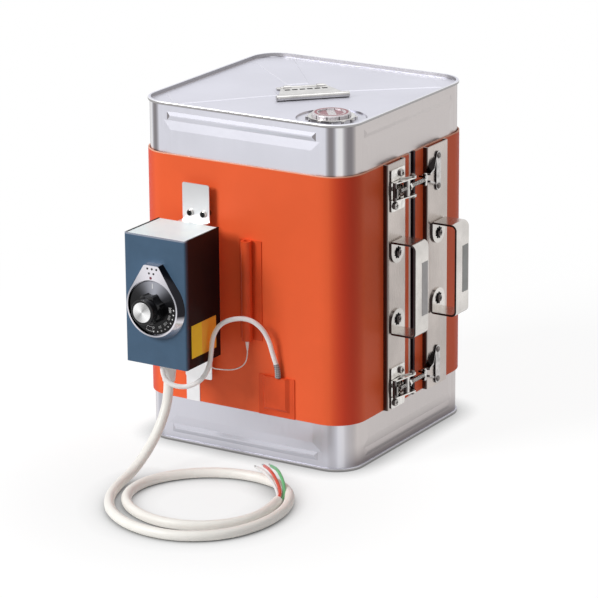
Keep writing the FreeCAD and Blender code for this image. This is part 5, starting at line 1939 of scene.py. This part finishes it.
@dataclass
class Studio:
    """White floor, white surround and soft lamps.

    Attributes:
        floor_size: Side of the floor.
        floor_glow: How far the floor shines by itself, where it is seen.
        floor_tone: The floor's tone for the light that it sends back to the heater.
        seen_tone: The tone that takes the shadow, where the floor is seen.
        shade_reach: How near a piece darkens the floor beside it.
        shade_depth: How strongly it does.
        clear_from: Distance from the middle at which the floor starts to turn pure white.
        clear_to: Distance at which it is.
        shade_patch_at: Middle of the soft grey patch of painted shade round the cable.
        shade_patch_from: Radius of the patch's full tone.
        shade_patch_to: Radius at which it ends.
        shade_patch_glow: The floor's glow in the patch.
        surround_light: Strength of the surround's light.
    """

    floor_size: float = 14.0
    floor_glow: float = 0.89
    floor_tone: float = 0.86
    seen_tone: float = 0.18
    shade_reach: float = 0.028
    shade_depth: float = 1.1
    clear_from: float = 0.40
    clear_to: float = 0.70
    shade_patch_at: Point = (0.02, -0.25, 0.0)
    shade_patch_from: float = 0.06
    shade_patch_to: float = 0.26
    shade_patch_glow: float = 0.77
    surround_light: float = 0.21

    def build(self) -> None:
        """Makes the floor, the surround and the lamps."""
        self.make_floor()
        self.make_surround()
        lamps = (
            Lamp("key_lamp", -27.0, 31.0, 2.4, 0.8, 37.0),
            Lamp("top_lamp", 10.0, 82.0, 2.2, 1.8, 10.0),
            Lamp("side_lamp", 98.0, 24.0, 2.6, 1.3, 2.0, (1.0, 0.98, 0.96)),
        )
        for lamp in lamps:
            lamp.build()

    def make_floor(self) -> None:
        """Makes the floor, which looks white but keeps the heater's shadow, with painted contact shadow
        beside the pieces and painted shade round the cable.
        """
        half = self.floor_size / 2
        mesh = bpy.data.meshes.new("floor")
        corners = [(-half, -half, 0), (half, -half, 0), (half, half, 0), (-half, half, 0)]
        mesh.from_pydata(corners, [], [(0, 1, 2, 3)])
        graph = Graph("floor_white")
        shader = graph.shader
        shader.inputs["Roughness"].default_value = 0.9
        shader.inputs["Specular IOR Level"].default_value = 0.0
        seen = graph.seen_directly()
        graph.colour(graph.blend(seen, (self.floor_tone,) * 3, (self.seen_tone,) * 3))
        # Painted contact shadow: the floor's glow dims where a piece stands near it.
        nearness = graph.node("ShaderNodeAmbientOcclusion")
        nearness.samples = 16
        nearness.inputs["Distance"].default_value = self.shade_reach
        shadow = graph.math("POWER", nearness.outputs["AO"], self.shade_depth)
        glow = graph.node("ShaderNodeEmission")
        # Painted shade: a dimmer glow in a soft patch round the cable.
        off_shade_patch = graph.length(graph.mapped(self.shade_patch_at))
        shade_patch = (self.shade_patch_from, self.shade_patch_to, self.shade_patch_glow, self.floor_glow)
        seen_glow = graph.math("MULTIPLY", seen, graph.span(off_shade_patch, *shade_patch))
        strength = graph.math("MULTIPLY", seen_glow, shadow)
        graph.link(strength, glow.inputs["Strength"])
        both = graph.node("ShaderNodeAddShader")
        graph.link(shader.outputs["BSDF"], both.inputs[0])
        graph.link(glow.outputs["Emission"], both.inputs[1])
        plain = graph.node("ShaderNodeEmission")
        graph.link(graph.span(seen, 0.0, 1.0, self.surround_light, 1.0), plain.inputs["Strength"])
        far = graph.span(graph.length(graph.place), self.clear_from, self.clear_to)
        mixed = graph.node("ShaderNodeMixShader")
        graph.link(far, mixed.inputs["Fac"])
        graph.link(both.outputs[0], mixed.inputs[1])
        graph.link(plain.outputs["Emission"], mixed.inputs[2])
        graph.link(mixed.outputs[0], graph.output.inputs["Surface"])
        mesh.materials.append(graph.material)
        add_object("floor", mesh)

    def make_surround(self) -> None:
        """Makes the world: white where it is seen, and a plain soft light elsewhere."""
        world = bpy.data.worlds.new("surround")
        world.use_nodes = True
        nodes = NodeTree(world.node_tree)
        nodes.tree.nodes.clear()
        mixed = nodes.node("ShaderNodeMixShader")
        nodes.link(nodes.seen_directly(), mixed.inputs["Fac"])
        for entry, strength in ((mixed.inputs[1], self.surround_light), (mixed.inputs[2], 1.0)):
            light = nodes.node("ShaderNodeBackground")
            light.inputs["Color"].default_value = (1.0, 1.0, 1.0, 1.0)
            light.inputs["Strength"].default_value = strength
            nodes.link(light.outputs[0], entry)
        output = nodes.node("ShaderNodeOutputWorld")
        nodes.link(mixed.outputs[0], output.inputs["Surface"])
        bpy.context.scene.world = world


def clear_scene() -> None:
    """Removes what Blender starts with."""
    for thing in list(bpy.data.objects):
        bpy.data.objects.remove(thing)


def main() -> None:
    """Builds the heater's looks in order."""
    logging.basicConfig(level=logging.INFO, format="%(name)s: %(message)s")
    clear_scene()
    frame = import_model()
    bpy.context.scene.view_settings.view_transform = "Standard"
    PhotoCamera().build()
    Studio().build()
    finishes = Finishes()
    finishes.dress_nodes(frame)
    Cords(finishes).build()
    Dial(finishes).build()
    CarrySlotShade(finishes).build()
    ClampFittings(finishes).build()


if __name__ == "__main__":
    main()
